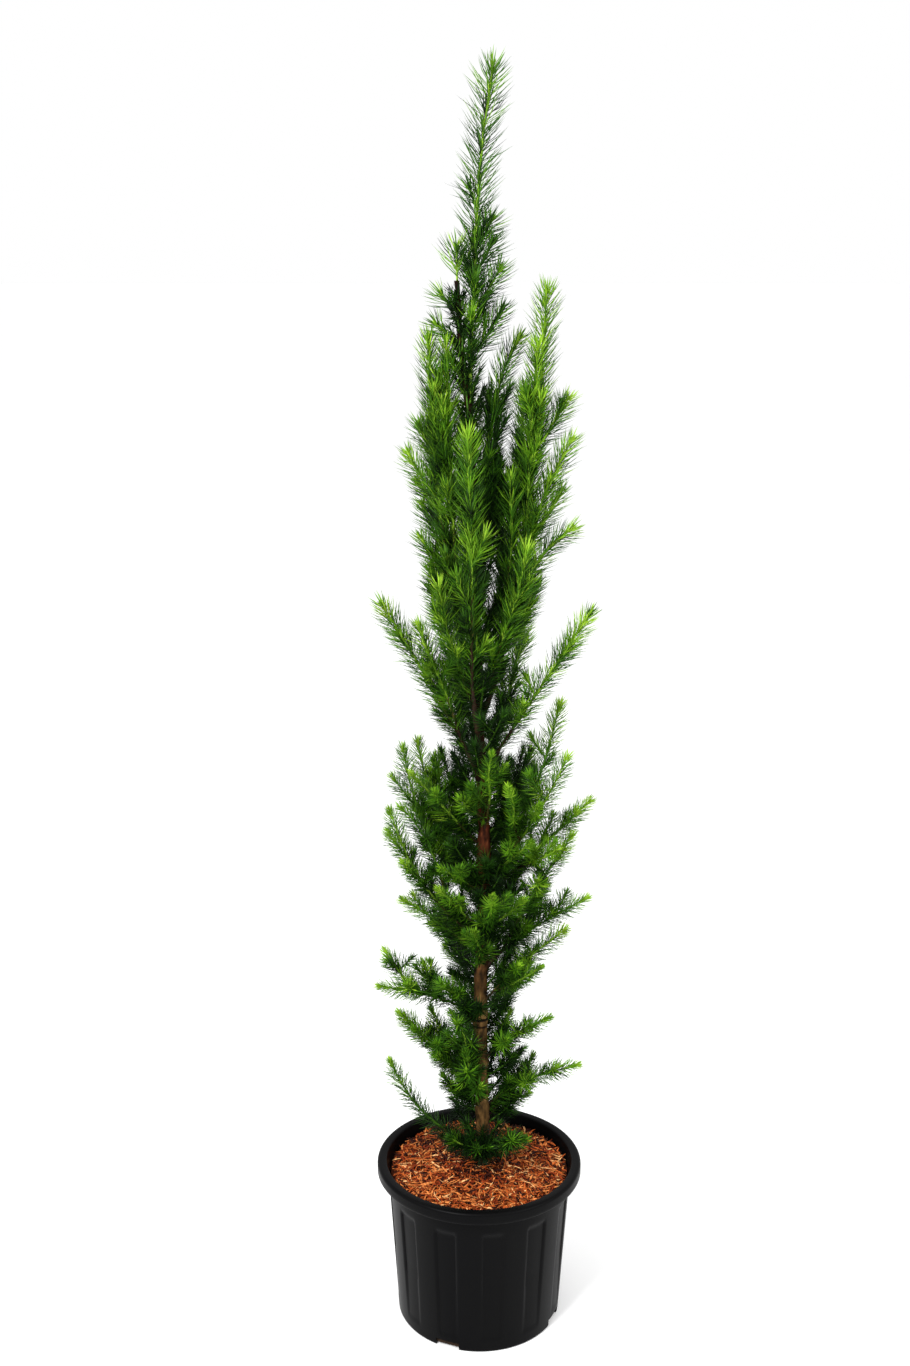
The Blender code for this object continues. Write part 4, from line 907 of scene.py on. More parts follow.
def at_bare_front(height, forward):
    """Whether a place on the trunk lies on the front of a stretch that stands bare."""
    return forward < BARE_FRONT and any(low < height < high for low, high in BARE_STRETCHES)


def trunk_shoot(height, azimuth, length, lift):
    """The line of a shoot that leaves the trunk."""
    foot = trunk_centre(height) + unit(azimuth) * trunk_radius(height) * FOOT_DEPTH
    return twig_path(foot, azimuth, length, math.radians(lift))


def inner_stems(limbs):
    """Shoots from the trunk between the boughs, shorter than the crown is wide there."""
    chance = random.Random(INNER_SEED)
    others = {name: shape for name, shape in limbs.items() if name != "trunk"}
    azimuth = chance.uniform(0, 360)
    height, top = INNER_SPAN
    found = []
    while height < top:
        least, most = (by_height(height, *ends) for ends in INNER_LENGTHS)
        length = min(chance.uniform(least, most), np.interp(height, *INNER_MOST))
        lift = by_height(height, *INNER_LIFTS) + chance.uniform(*INNER_LIFT_SPREAD)
        line = trunk_shoot(height, azimuth, length, lift)
        shown = at_bare_front(height, unit(azimuth).y)
        if not shown and limb_room(sampled(line)[2:], None, others, INNER_RADII[0]):
            found.append(Stem(line, *INNER_RADII, "inner"))
        azimuth += GOLDEN_ANGLE
        height += np.interp(height, *INNER_STEPS) * chance.uniform(*STEP_SPREAD)
    for kind, rows in PLACED_INNER:
        found += [Stem(trunk_shoot(*row), *INNER_RADII, kind) for row in rows]
    return found


def placed_stems(paths):
    """Twigs at places that no rule gives, where the crown is seen to be full."""
    found = []
    for kind, rows in PLACED_FINE:
        for name, height, azimuth, length, lift in rows:
            line = twig_path(point_at_height(paths[name], height), azimuth, length, math.radians(lift))
            found.append(Stem(line, *FINE_RADII, kind))
    return found


def frames(line):
    """The way ahead and a sideways direction at each point of a line, turned as little as possible."""
    aheads = []
    sides = []
    for before, after in zip([line[0]] + line[:-1], line[1:] + [line[-1]]):
        ahead = (after - before).normalized()
        if not sides:
            guide = Vector((0, 0, 1)) if abs(ahead.z) < NEAR_UPRIGHT else Vector((1, 0, 0))
            side = ahead.cross(guide).normalized()
        side = (side - ahead * side.dot(ahead)).normalized()
        aheads.append(ahead)
        sides.append(side)
    return aheads, sides


def along(line, distances):
    """Places and the three directions at distances along a line, as arrays."""
    points = rows_of(line)
    ends = spaced(points)
    aheads, sides = frames(line)
    place = read_rows(points, ends, distances)
    ahead = unit_rows(read_rows(rows_of(aheads), ends, distances))
    side = read_rows(rows_of(sides), ends, distances)
    side = unit_rows(side - ahead * (side * ahead).sum(axis=1, keepdims=True))
    return place, ahead, side, np.cross(ahead, side)


def add_mesh(name, points, faces, finish, smooth=True):
    """One mesh object from an array of points and a list of faces."""
    mesh = bpy.data.meshes.new(name)
    mesh.from_pydata(np.asarray(points).tolist(), [], faces)
    mesh.materials.append(finish)
    if smooth:
        mesh.shade_smooth()
    made = bpy.data.objects.new(name, mesh)
    bpy.context.scene.collection.objects.link(made)
    return made


def repeated(faces, points, count):
    """The faces of many equal shapes with a number of points each."""
    return [tuple(points * i + v for v in face) for i in range(count) for face in faces]


# Needles


def clear_of_trunk(place, out):
    """Which needles neither start in the trunk nor point into it from close by."""
    heights = np.clip(place[:, 2], TRUNK_FOOT, TRUNK_TOP)
    centres = [np.interp(heights, TRUNK_HEIGHTS, column) for column in (TRUNK_XS, TRUNK_YS)]
    away = place[:, :2] - np.stack(centres, axis=1)
    gap = np.linalg.norm(away, axis=1)
    inward = -(away * out[:, :2]).sum(axis=1) / np.maximum(gap, LEAST_GAP)
    room = np.array([trunk_radius(z) for z in heights]) + TRUNK_ROOM
    beside = (gap > room) & ((inward < INWARD_MOST) | (gap > room + TRUNK_FAR))
    return beside | (place[:, 2] > TRUNK_TOP)


def spray_of(distance):
    """The number of the spray that each needle belongs to, by its distance along the shoot."""
    return (distance / SPRAY_LENGTH).astype(int)


class NeedleField:
    """All needles, kept by shape and class of colour until they are joined into pieces."""

    def __init__(self, crown):
        self.rng = np.random.default_rng(NEEDLE_SEED)
        self.crown = crown
        self.shapes = {shape: [[] for _ in NEEDLE_COLOURS] for shape in (FULL, SLIM)}

    def add(self, base, ahead, out, reach, lean, light, shape=FULL):
        """Needles from their bases: directions of their shoot and away from it, length, angle and light."""
        rng = self.rng
        curl = np.radians(rng.normal(*NEEDLE_CURL, len(base))) * 0.5
        first = turned(ahead, out, lean + curl)
        last = turned(ahead, out, lean - curl)
        across = unit_rows(np.cross(ahead, out))
        last = last + across * rng.normal(0, NEEDLE_SWAY, len(base))[:, None]
        widths = np.interp(base[:, 2], NEEDLE_HEIGHTS, NEEDLE_WIDTHS)
        points = []
        for share, width in shape.rings:
            centre = base + reach[:, None] * (first * share + (last - first) * share**2 / 2)
            heading = unit_rows(first + (last - first) * share)
            flat = unit_rows(np.cross(heading, out)) * (widths * width)[:, None]
            keel = np.cross(flat, heading) * NEEDLE_KEEL
            points += [centre - flat, centre + flat, centre + keel]
        points.append(base + reach[:, None] * (first + (last - first) / 2))
        points = np.stack(points, axis=1)
        shades = np.digitize(light, [begins for _, _, begins in NEEDLE_COLOURS]) - 1
        for k, kept in enumerate(self.shapes[shape]):
            kept.append(points[shades == k])

    def light_of(self, place, to_end, spray, kind):
        """How light a needle is: more at the shoot's tip, as young growth and painted light, more at the
        outside and top of the crown as painted light, and less on inner shoots and low down as painted shade.
        """
        plain, tip_growth_and_light, painted_outside_light = KIND_LIGHT[kind]
        outside = np.hypot(place[:, 0], place[:, 1]) / np.interp(place[:, 2], *self.crown)
        tips = np.exp(-to_end / TIP_GLOW) * tip_growth_and_light * np.interp(place[:, 2], *TIP_SHOWS)
        sprays = self.rng.normal(0, SPRAY_SPREAD, int(spray.max()) + 1)[spray]
        height = np.interp(place[:, 2], *PAINTED_HEIGHT_LIGHT)
        # Painted light at the crown's outside and top, painted shade inside and low down, added to the tip's
        # young growth
        return plain + tips + painted_outside_light * np.clip(outside, 0, OUTSIDE_MOST) + height + sprays

    def along_stem(self, stem):
        """The single needles of one shoot, in a spiral, and the short ones of the stouter shoots."""
        rng = self.rng
        length = path_length(stem.line)
        middle = stem.line[len(stem.line) // 2].z
        combed = stem.kind in ("shoot", "side")
        step = np.interp(middle, NEEDLE_HEIGHTS, NEEDLE_STEPS)
        count = max(NEEDLE_LEAST, int((length - NEEDLE_START) / step))
        shuffle = rng.uniform(-NEEDLE_SHUFFLE, NEEDLE_SHUFFLE, count)
        distance = np.clip(NEEDLE_START + (np.arange(count) + shuffle) * step, NEEDLE_FIRST, length)
        turn = np.radians(np.arange(count) * GOLDEN_ANGLE + rng.normal(0, NEEDLE_TURN, count))
        place, ahead, side, up = along(stem.line, distance)
        wide, flat = (by_height(middle, *ends) if combed else 1.0 for ends in (NEEDLE_WIDE, NEEDLE_FLAT))
        out = unit_rows(side * (np.cos(turn) * wide)[:, None] + up * (np.sin(turn) * flat)[:, None])
        to_end = length - distance
        tipward = np.clip(1 - to_end / min(TIP_STRETCH, TIP_SHARE * length), 0, 1)
        reach = np.interp(place[:, 2], NEEDLE_HEIGHTS, NEEDLE_LENGTHS) * NEEDLE_SIZE[stem.kind]
        short = 1 - (1 - by_height(middle, *NEEDLE_SHORT)) * tipward
        reach = reach * short * rng.uniform(*NEEDLE_SIZES, count)
        if stem.kind == "inner":
            reach = reach * np.interp(place[:, 2], *INNER_NEEDLES)
        if combed and in_front(stem):
            reach = reach * FRONT_NEEDLES
        angle = np.interp(place[:, 2], NEEDLE_HEIGHTS, NEEDLE_ANGLES)
        angle = angle + (NEEDLE_ANGLE_TIP - angle) * tipward + rng.normal(0, NEEDLE_LEAN, count)
        radius = stem.foot + (stem.tip - stem.foot) * distance / length
        light = self.light_of(place, to_end, spray_of(distance), stem.kind)
        free = clear_of_trunk(place, out)
        base = place + out * (radius * NEEDLE_DEPTH)[:, None]
        rows = (base, ahead, out, reach, np.radians(angle), light)
        self.add(*(row[free] for row in rows), FULL if combed else SLIM)
        if combed:
            self.tuft(stem, length)
        if combed and (middle > CORE_FROM or in_front(stem)):
            self.core(stem, length)

    def short_needles(self, stem, distance, leans, sizes):
        """Places, directions, angles and sizes of short needles that wind round a shoot."""
        count = len(distance)
        place, ahead, side, up = along(stem.line, distance)
        out = turned(side, up, np.arange(count) * np.radians(GOLDEN_ANGLE))
        lean = np.radians(self.rng.uniform(*leans, count))
        return place, ahead, out, lean, self.rng.uniform(*sizes, count)

    def tuft(self, stem, length):
        """The short bright needles that close round a shoot's tip."""
        distance = length - self.rng.uniform(0.0, TUFT_ROOM, TUFT_COUNT)
        place, ahead, out, lean, size = self.short_needles(stem, distance, TUFT_LEAN, TUFT_SIZES)
        light = self.light_of(place, length - distance, np.zeros(TUFT_COUNT, int), stem.kind)
        self.add(place, ahead, out, TUFT_LENGTH * size, lean, light)

    def core(self, stem, length):
        """Short light needles that lie close along the stem of a tall shoot or one in front, those in front
        lighter still as painted light.
        """
        distance = np.arange(length * CORE_START, length - CORE_END, CORE_STEP)
        place, ahead, out, lean, size = self.short_needles(stem, distance, CORE_LEAN, CORE_SIZES)
        light = self.light_of(place, length - distance, spray_of(distance), stem.kind)
        # Shoots in front get painted light on their core needles
        light = light + CORE_LIGHT + FRONT_PAINTED_LIGHT * in_front(stem)
        free = clear_of_trunk(place, out)
        base = place + out * stem.tip * NEEDLE_DEPTH
        reach = np.interp(place[:, 2], *CORE_LENGTHS) * size
        self.add(*(row[free] for row in (base, ahead, out, reach, lean, light)))

    def rosettes(self, line, radius_at, step):
        """Rosettes of dark needles on older wood."""
        rng = self.rng
        places = np.arange(step, path_length(line), step)
        places = places + rng.uniform(-NEEDLE_SHUFFLE, NEEDLE_SHUFFLE, len(places)) * step
        for place, ahead, side, up in zip(*along(line, places)):
            turn = rng.uniform(0, FULL_TURN)
            away = side * math.cos(turn) + up * math.sin(turn)
            if at_bare_front(place[2], away[1]):
                continue
            count = int(ROSETTE_NEEDLES * rng.uniform(*ROSETTE_COUNTS))
            axis = unit_rows((away + np.array(ROSETTE_RISE))[None, :])
            guide = unit_rows(np.cross(axis, ahead[None, :]))
            out = turned(guide, np.cross(axis, guide), rng.uniform(0, FULL_TURN, count))
            reach = ROSETTE_LENGTH * rng.uniform(*ROSETTE_SIZES, count)
            lean = np.radians(rng.uniform(*ROSETTE_LEAN, count))
            light = np.full(count, ROSETTE_LIGHT + rng.normal(*ROSETTE_LIGHT_SPREAD))
            foot = (place + away * radius_at(place[2]))[None, :]
            feet, ahead = (np.repeat(row, count, axis=0) for row in (foot, axis))
            self.add(feet, ahead, out, reach, lean, light, SLIM)

    def pieces(self):
        """Join the needles of each colour into pieces that stay under the limit."""
        made = []
        for k, (name, colour, _) in enumerate(NEEDLE_COLOURS):
            finish = needle_finish(name, colour)
            for shape, kept in self.shapes.items():
                rows = np.concatenate(kept[k])
                most = TRIANGLES_PER_PIECE // shape.triangles
                for i, start in enumerate(range(0, len(rows), most)):
                    part = rows[start : start + most]
                    faces = repeated(needle_faces(shape), shape.points, len(part))
                    piece = f"{name}_{shape.kind}_{i}"
                    made.append(add_mesh(piece, part.reshape(-1, 3), faces, finish, smooth=False))
        return made


def needle_faces(shape):
    """Faces of one needle: a three-sided foot, a band on a full one, and a pointed end."""
    faces = [(2, 1, 0)]
    ring = shape.points - 4
    for a, b in ((0, 1), (1, 2), (2, 0)):
        if shape is FULL:
            faces.append((a, b, b + 3, a + 3))
        faces.append((ring + a, ring + b, ring + 3))
    return faces


def crown_outline(stems):
    """The crown's radius at a row of heights, from the stems that reach furthest out."""
    heights = np.arange(*CROWN_HEIGHTS)
    points = np.concatenate([sampled(stem.line) for stem in stems])
    out = np.hypot(points[:, 0], points[:, 1])
    near = [np.abs(points[:, 2] - z) < CROWN_HEIGHTS[2] for z in heights]
    return heights, np.array([out[chosen].max(initial=CROWN_LEAST) for chosen in near])


# Stems, trunk and boughs


def ring_faces(count, sides):
    """Quads between rings of points that follow each other, with a cap on either end."""
    faces = []
    for ring in range(count - 1):
        for side in range(sides):
            a = ring * sides + side
            b = ring * sides + (side + 1) % sides
            faces.append((a, b, b + sides, a + sides))
    faces.append(tuple(reversed(range(sides))))
    faces.append(tuple(range((count - 1) * sides, count * sides)))
    return faces


def tube(line, radius_at, sides, ring, ridge, twist):
    """Points and faces of a ridged, closed tube whose radius follows the share of its length."""
    length = path_length(line)
    count = max(3, int(length / ring) + 1)
    distances = np.linspace(0.0, length, count)
    place, _, side, up = along(line, distances)
    turns = FULL_TURN * np.arange(sides) / sides
    radii = np.array([radius_at(d / length) for d in distances])
    swirl = 1 + ridge * np.sin(3 * turns[None, :] + twist * distances[:, None])
    rays = side[:, None, :] * np.cos(turns)[None, :, None] + up[:, None, :] * np.sin(turns)[None, :, None]
    points = place[:, None, :] + rays * (radii[:, None] * swirl)[:, :, None]
    return points.reshape(-1, 3), ring_faces(count, sides)


def joined(name, shapes, finish):
    """One object of many closed shapes."""
    faces = []
    start = 0
    for points, quads in shapes:
        faces += [tuple(start + v for v in face) for face in quads]
        start += len(points)
    return add_mesh(name, np.concatenate([points for points, _ in shapes]), faces, finish)


def radius_between(foot, tip, pointed):
    """A radius that runs from foot to tip, and closes at a shoot's end."""
    def read(share):
        plain = foot + (tip - foot) * share
        return plain * math.sqrt(max(TIP_LEAST, 1 - share**TIP_POWER)) if pointed else plain

    return read


def stem_cuts(stem):
    """The stretches of a stem that differ in colour: its start, its end and the colour's name."""
    foot = stem.line[0]
    if stem.kind != "shoot":
        return [(0.0, 1.0, "stem_green")]
    # Young shoots that point to the front get the lighter green of painted light
    bright = stem.line[-1].y < (FRONT_LIT_BEFORE if foot.z > TALL_FOOT else -FRONT_LIT_BEFORE)
    young = "stem_bright" if bright else "stem_green"
    if foot.z > HIGH_HEIGHT:
        return [(0.0, 1.0, young)]
    brown = BROWN_SHARE * float(by_height(foot.z, *BROWN_BY_HEIGHT))
    olive = brown + OLIVE_SHARE
    return [(0.0, brown, "stem_brown"), (brown, olive, "stem_olive"), (olive, 1.0, young)]


def stem_pieces(stems):
    """Tubes of every stem, dealt to brown, olive and green by how old each stretch is, and young stretches of
    shoots that point to the front to a lighter green as painted light.
    """
    kinds = {name: [] for name in STEM_COLOURS}
    for stem in stems:
        for start, end, kind in stem_cuts(stem):
            foot, tip = (stem.foot + (stem.tip - stem.foot) * share for share in (start, end))
            reader = radius_between(foot, tip, end == 1.0)
            kinds[kind].append(tube(part_of(stem.line, start, end), reader, *STEM_TUBE))
    return [joined(name, shapes, stem_finish(name)) for name, shapes in kinds.items() if shapes]


def make_limbs(paths):
    """The bare feet of the main boughs, with ridged young bark."""
    reader = radius_between(LIMB_FOOT_RADIUS * LIMB_SWELL, STEM_FOOT_RADIUS, False)
    shapes = []
    for shoot in SHOOTS:
        if shoot.bare:
            line = part_of(paths[shoot.name], 0.0, shoot.bare + LIMB_OVERLAP)
            shapes.append(tube(line, reader, *LIMB_TUBE))
    return joined("boughs_with_bark", shapes, stem_finish("stem_brown"))


def eased(share):
    """A share that starts and ends gently."""
    return share * share * (3 - 2 * share)


def smooth_noise(rng, grid, v, u):
    """Random values on a grid that wraps round its columns, read smoothly at rows v and columns u."""
    rows, columns = grid
    table = rng.uniform(-1, 1, grid)
    y = np.clip(v, 0, 0.9999) * (rows - 1)
    x = (u % 1.0) * columns
    i = y.astype(int)
    j = x.astype(int)
    fx = eased(x - j)
    fy = eased(y - i)
    j_next = (j + 1) % columns
    near, far = (table[row, j % columns] * (1 - fx) + table[row, j_next] * fx for row in (i, i + 1))
    return near * (1 - fy) + far * fy


def bulge(places, middle, width):
    """A smooth rise about a middle, for each ring of the trunk."""
    return np.exp(-(((places - middle) / width) ** 2))[:, None]


def facing(turns, azimuth):
    """How squarely each side of the trunk faces an azimuth, from 0 to 1."""
    return np.clip(np.cos(turns - math.radians(azimuth)), 0, 1)[None, :]


def bark_relief(heights, turns, radii):
    """Plates of bark with their grain, less deep where the trunk is thin."""
    rng = np.random.default_rng(BARK_SEED)
    v = np.repeat(((heights - TRUNK_FOOT) / (TRUNK_TOP - TRUNK_FOOT))[:, None], len(turns), axis=1)
    u = np.repeat((turns / FULL_TURN)[None, :], len(heights), axis=0)
    plates = smooth_noise(rng, PLATE_GRID, v, u + PLATE_WAVE[0] * np.sin(PLATE_WAVE[1] * v))
    grain = smooth_noise(rng, GRAIN_GRID, v, u)
    fibres = smooth_noise(rng, FIBRE_GRID, v, u)
    plates = BARK_PLATE * np.sign(plates) * np.sqrt(np.abs(plates))
    thick = np.clip((radii / TRUNK_FOOT_RADIUS)[:, None], *BARK_THICK)
    return (plates + BARK_GRAIN * (grain + FIBRE_SHARE * fibres)) * thick


def knot_relief(heights, turns):
    """The knot, which stands out most on one side, with its two grooves."""
    beyond = (heights - KNOT_HEIGHT) / KNOT_LENGTH
    relief = KNOT_RELIEF * (0.5 + facing(turns, KNOT_AZIMUTH) ** 2) * bulge(beyond, 0.0, 1.0)
    wave = (1 + GROOVE_WAVE * np.sin(3 * turns))[None, :]
    return relief, [depth * bulge(beyond, ring, GROOVE_WIDTH) * wave for ring, depth in KNOT_GROOVES]


def make_trunk():
    """The trunk with plates of bark, collars under the boughs, a swelling and the knot."""
    count = int((TRUNK_TOP - TRUNK_FOOT) / BARK_RING)
    heights = np.linspace(TRUNK_FOOT, TRUNK_TOP, count)
    turns = FULL_TURN * np.arange(BARK_SIDES) / BARK_SIDES
    radii = np.array([trunk_radius(z) for z in heights])
    relief = bark_relief(heights, turns, radii)
    for shoot in SHOOTS:
        if shoot.parent == "trunk" and shoot.name != "leader":
            collar = bulge(heights - shoot.foot, COLLAR_RISE, COLLAR_HEIGHT)
            relief = relief + COLLAR_SIZE * collar * facing(turns, shoot.azimuth) ** 3
    swelling = bulge(heights, SWELLING_HEIGHT, SWELLING_LENGTH)
    relief = relief + SWELLING_SIZE * swelling * facing(turns, SWELLING_AZIMUTH)
    knot, grooves = knot_relief(heights, turns)
    relief = relief + knot
    for groove in grooves:
        relief = relief - groove
    centres = rows_of(trunk_centre(z) for z in heights)
    rays = np.stack([np.cos(turns), np.sin(turns), np.zeros(BARK_SIDES)], axis=1)
    points = centres[:, None, :] + rays[None, :, :] * (radii[:, None] + relief)[:, :, None]
    return add_mesh("trunk_with_bark", points.reshape(-1, 3), ring_faces(count, BARK_SIDES), bark_finish())


# Mulch and pot


def chip_shape(rng, place, heading, pitch, roll, length, width, thick):
    """Four rings of four points: one bent, tapering chip of bark."""
    level = math.cos(pitch)
    ahead = np.array([math.cos(heading) * level, math.sin(heading) * level, math.sin(pitch)])
    side = np.array([-math.sin(heading), math.cos(heading), 0.0])
    up = np.cross(ahead, side)
    side, up = side * math.cos(roll) + up * math.sin(roll), up * math.cos(roll) - side * math.sin(roll)
    bend = rng.normal(0, CHIP_BEND) * length
    arch = rng.normal(0, CHIP_ARCH) * length
    points = []
    for share in CHIP_PLACES:
        narrow = 1 - CHIP_TAPER * abs(share * 2) ** 3 * rng.uniform(0.5, 1.0)
        centre = place + ahead * share * length
        centre = centre + side * bend * (4 * share**2 - 1) + up * arch * (1 - 4 * share**2)
        half = width * 0.5 * narrow * rng.uniform(*CHIP_HALF_WIDTHS)
        deep = thick * 0.5 * rng.uniform(*CHIP_HALF_DEPTHS) * narrow
        for a, b in SQUARE_CORNERS:
            corner = centre + side * half * a * rng.uniform(*CORNER_WIDTHS)
            points.append(corner + up * deep * b * rng.uniform(*CORNER_DEPTHS))
    return points


def chip_colour(rng, out, back):
    """A chip's colour, dark more often near the trunk and at the back of the pot as painted shade under the
    low tufts and at the back.
    """
    names = [name for name, _, _ in CHIP_COLOURS]
    weights = np.array([share for _, _, share in CHIP_COLOURS])
    name = names[rng.choice(len(names), p=weights / weights.sum())]
    shade = SHADE_MIDDLE * math.exp(-((out / SHADE_REACH) ** 2))
    shade += SHADE_BACK * min(1.0, max(0.0, back / SHADE_FROM))
    return PAINTED_SHADE_CHIP if rng.uniform() < shade else name


def make_mulch():
    """Shredded bark, laid as bent chips of three kinds over the bark layer."""
    rng = np.random.default_rng(CHIP_SEED)
    kinds = {name: [] for name, _, _ in CHIP_COLOURS}
    edge = inner_radius(MULCH_EDGE) - CHIP_WALL
    for count, lengths, widths, thicks in CHIP_KINDS:
        for _ in range(count):
            length = rng.uniform(*lengths)
            out = (edge - CHIP_INSET * length) * math.sqrt(rng.uniform())
            turn = rng.uniform(0, FULL_TURN)
            height = mulch_height(out) + CHIP_RISE + CHIP_LAYERS * rng.uniform() ** CHIP_SETTLE
            place = np.array([math.cos(turn) * out, math.sin(turn) * out, height])
            if math.hypot(place[0] - TRUNK_XS[0], place[1] - TRUNK_YS[0]) < CHIP_CLEAR:
                continue
            pitch = math.radians(rng.normal(0, CHIP_PITCH))
            roll = math.radians(rng.normal(0, CHIP_ROLL))
            kept = kinds[chip_colour(rng, out, place[1])]
            heading = rng.uniform(0, FULL_TURN)
            sizes = (length, rng.uniform(*widths), rng.uniform(*thicks))
            kept.append(chip_shape(rng, place, heading, pitch, roll, *sizes))
    made = []
    rings, corners = len(CHIP_PLACES), len(SQUARE_CORNERS)
    for name, colour, _ in CHIP_COLOURS:
        faces = repeated(ring_faces(rings, corners), rings * corners, len(kinds[name]))
        points = np.array(kinds[name]).reshape(-1, 3)
        made.append(add_mesh(name, points, faces, chip_finish(name, colour), smooth=False))
    return made


def flute_depth(turn, height):
    """How far the wall is pressed in at a turn and a height: flutes that fade towards the foot."""
    period = 360.0 / FLUTES
    across = ((math.degrees(turn) - FLUTE_PHASE + period * FLUTE_HALF) % period) / period
    panel = eased(np.clip((FLUTE_HALF - abs(across - FLUTE_HALF)) / FLUTE_EASE, 0, 1))
    high = eased(np.clip((FLUTE_TOP - height) / FLUTE_END, 0, 1))
    low = np.clip((height - FLUTE_BOTTOM) / FLUTE_START, 0, 1)
    return FLUTE_DEPTH * panel * high * (FLUTE_LOW + (1 - FLUTE_LOW) * low) * np.clip(low * FLUTE_ONSET, 0, 1)


def pot_profile():
    """Radius and height of each ring, from the underside up the wall, round the rim and to the inside."""
    skirt = POT_HEIGHT - RIM_SKIRT
    ceiling = POT_HEIGHT - RIM_THICKNESS
    inset = RIM_RADIUS - POT_WALL
    bevel = BASE_BEVEL * BEVEL_MIDDLE
    rows = [(POT_BASE_RADIUS - BASE_BEVEL, 0.0), (POT_BASE_RADIUS - bevel, bevel)]
    for i in range(POT_RINGS + 1):
        z = BASE_BEVEL + (skirt - WALL_END - BASE_BEVEL) * i / POT_RINGS
        rows.append((wall_radius(z), z))
    rows += [
        (wall_radius(skirt) + SKIRT_EDGE, skirt + NECK_RISE),
        (wall_radius(ceiling), ceiling),
        (inset - CEILING_EDGE, ceiling),
        (inset, skirt + SKIRT_EDGE),
        (inset + SKIRT_EDGE, skirt),
        (RIM_RADIUS - RIM_EDGE, skirt),
    ]
    rows += [(RIM_RADIUS, skirt + rise) for rise in RIM_RISES]
    turns = [math.radians(90 * i / ROUND_STEPS) for i in range(ROUND_STEPS + 1)]
    for turn in turns:
        ease = RIM_ROUND * (1 - math.cos(turn))
        rows.append((RIM_RADIUS - ease, POT_HEIGHT - RIM_ROUND * (1 - math.sin(turn))))
    for turn in turns[1:]:
        ease = RIM_INNER_ROUND * (1 - math.sin(turn))
        rows.append((RIM_INNER_RADIUS + ease, POT_HEIGHT - RIM_INNER_ROUND * (1 - math.cos(turn))))
    return rows


def cut_drain(pot, turn):
    """Cut one drain opening through the foot of the pot's wall."""
    out = POT_BASE_RADIUS - POT_WALL
    bpy.ops.mesh.primitive_cube_add(size=1.0)
    cutter = bpy.context.active_object
    cutter.scale = (DRAIN_DEPTH, DRAIN_WIDTH, DRAIN_HEIGHT + 2 * CUTTER_BELOW)
    cutter.rotation_euler.z = turn
    cutter.location = (math.cos(turn) * out, math.sin(turn) * out, DRAIN_HEIGHT / 2 - CUTTER_BELOW)
    cut = pot.modifiers.new("drain", "BOOLEAN")
    cut.operation = "DIFFERENCE"
    cut.object = cutter
    bpy.context.view_layer.update()
    graph = bpy.context.evaluated_depsgraph_get()
    mesh = bpy.data.meshes.new_from_object(pot.evaluated_get(graph))
    pot.modifiers.clear()
    pot.data = mesh
    bpy.data.objects.remove(cutter, do_unlink=True)


def make_pot():
    """The pot's surface with soft flutes, a rolled rim and the drain openings at its foot."""
    rings = []
    turns = [FULL_TURN * k / POT_SEGMENTS for k in range(POT_SEGMENTS)]
    for radius, height in pot_profile():
        rings.append([(radius - flute_depth(turn, height), turn, height) for turn in turns])
    rings += [[(inner_radius(height), turn, height) for turn in turns] for height in INSIDE_HEIGHTS]
    points = [(math.cos(turn) * out, math.sin(turn) * out, z) for ring in rings for out, turn, z in ring]
    faces = ring_faces(len(rings), POT_SEGMENTS)
    pot = add_mesh("pot_surface", points, faces, plastic_finish())
    for k in range(DRAINS):
        cut_drain(pot, math.radians(DRAIN_PHASE) + FULL_TURN * k / DRAINS)
    pot.data.shade_smooth()
    pot.data.set_sharp_from_angle(angle=math.radians(SHARP_ANGLE))
    return pot


# Finishes


def srgb(colour):
    """Linear red, green and blue from 0 to 255 values."""
    shares = [c / 255 for c in colour]
    return [s / 12.92 if s <= 0.04045 else ((s + 0.055) / 1.055) ** 2.4 for s in shares]


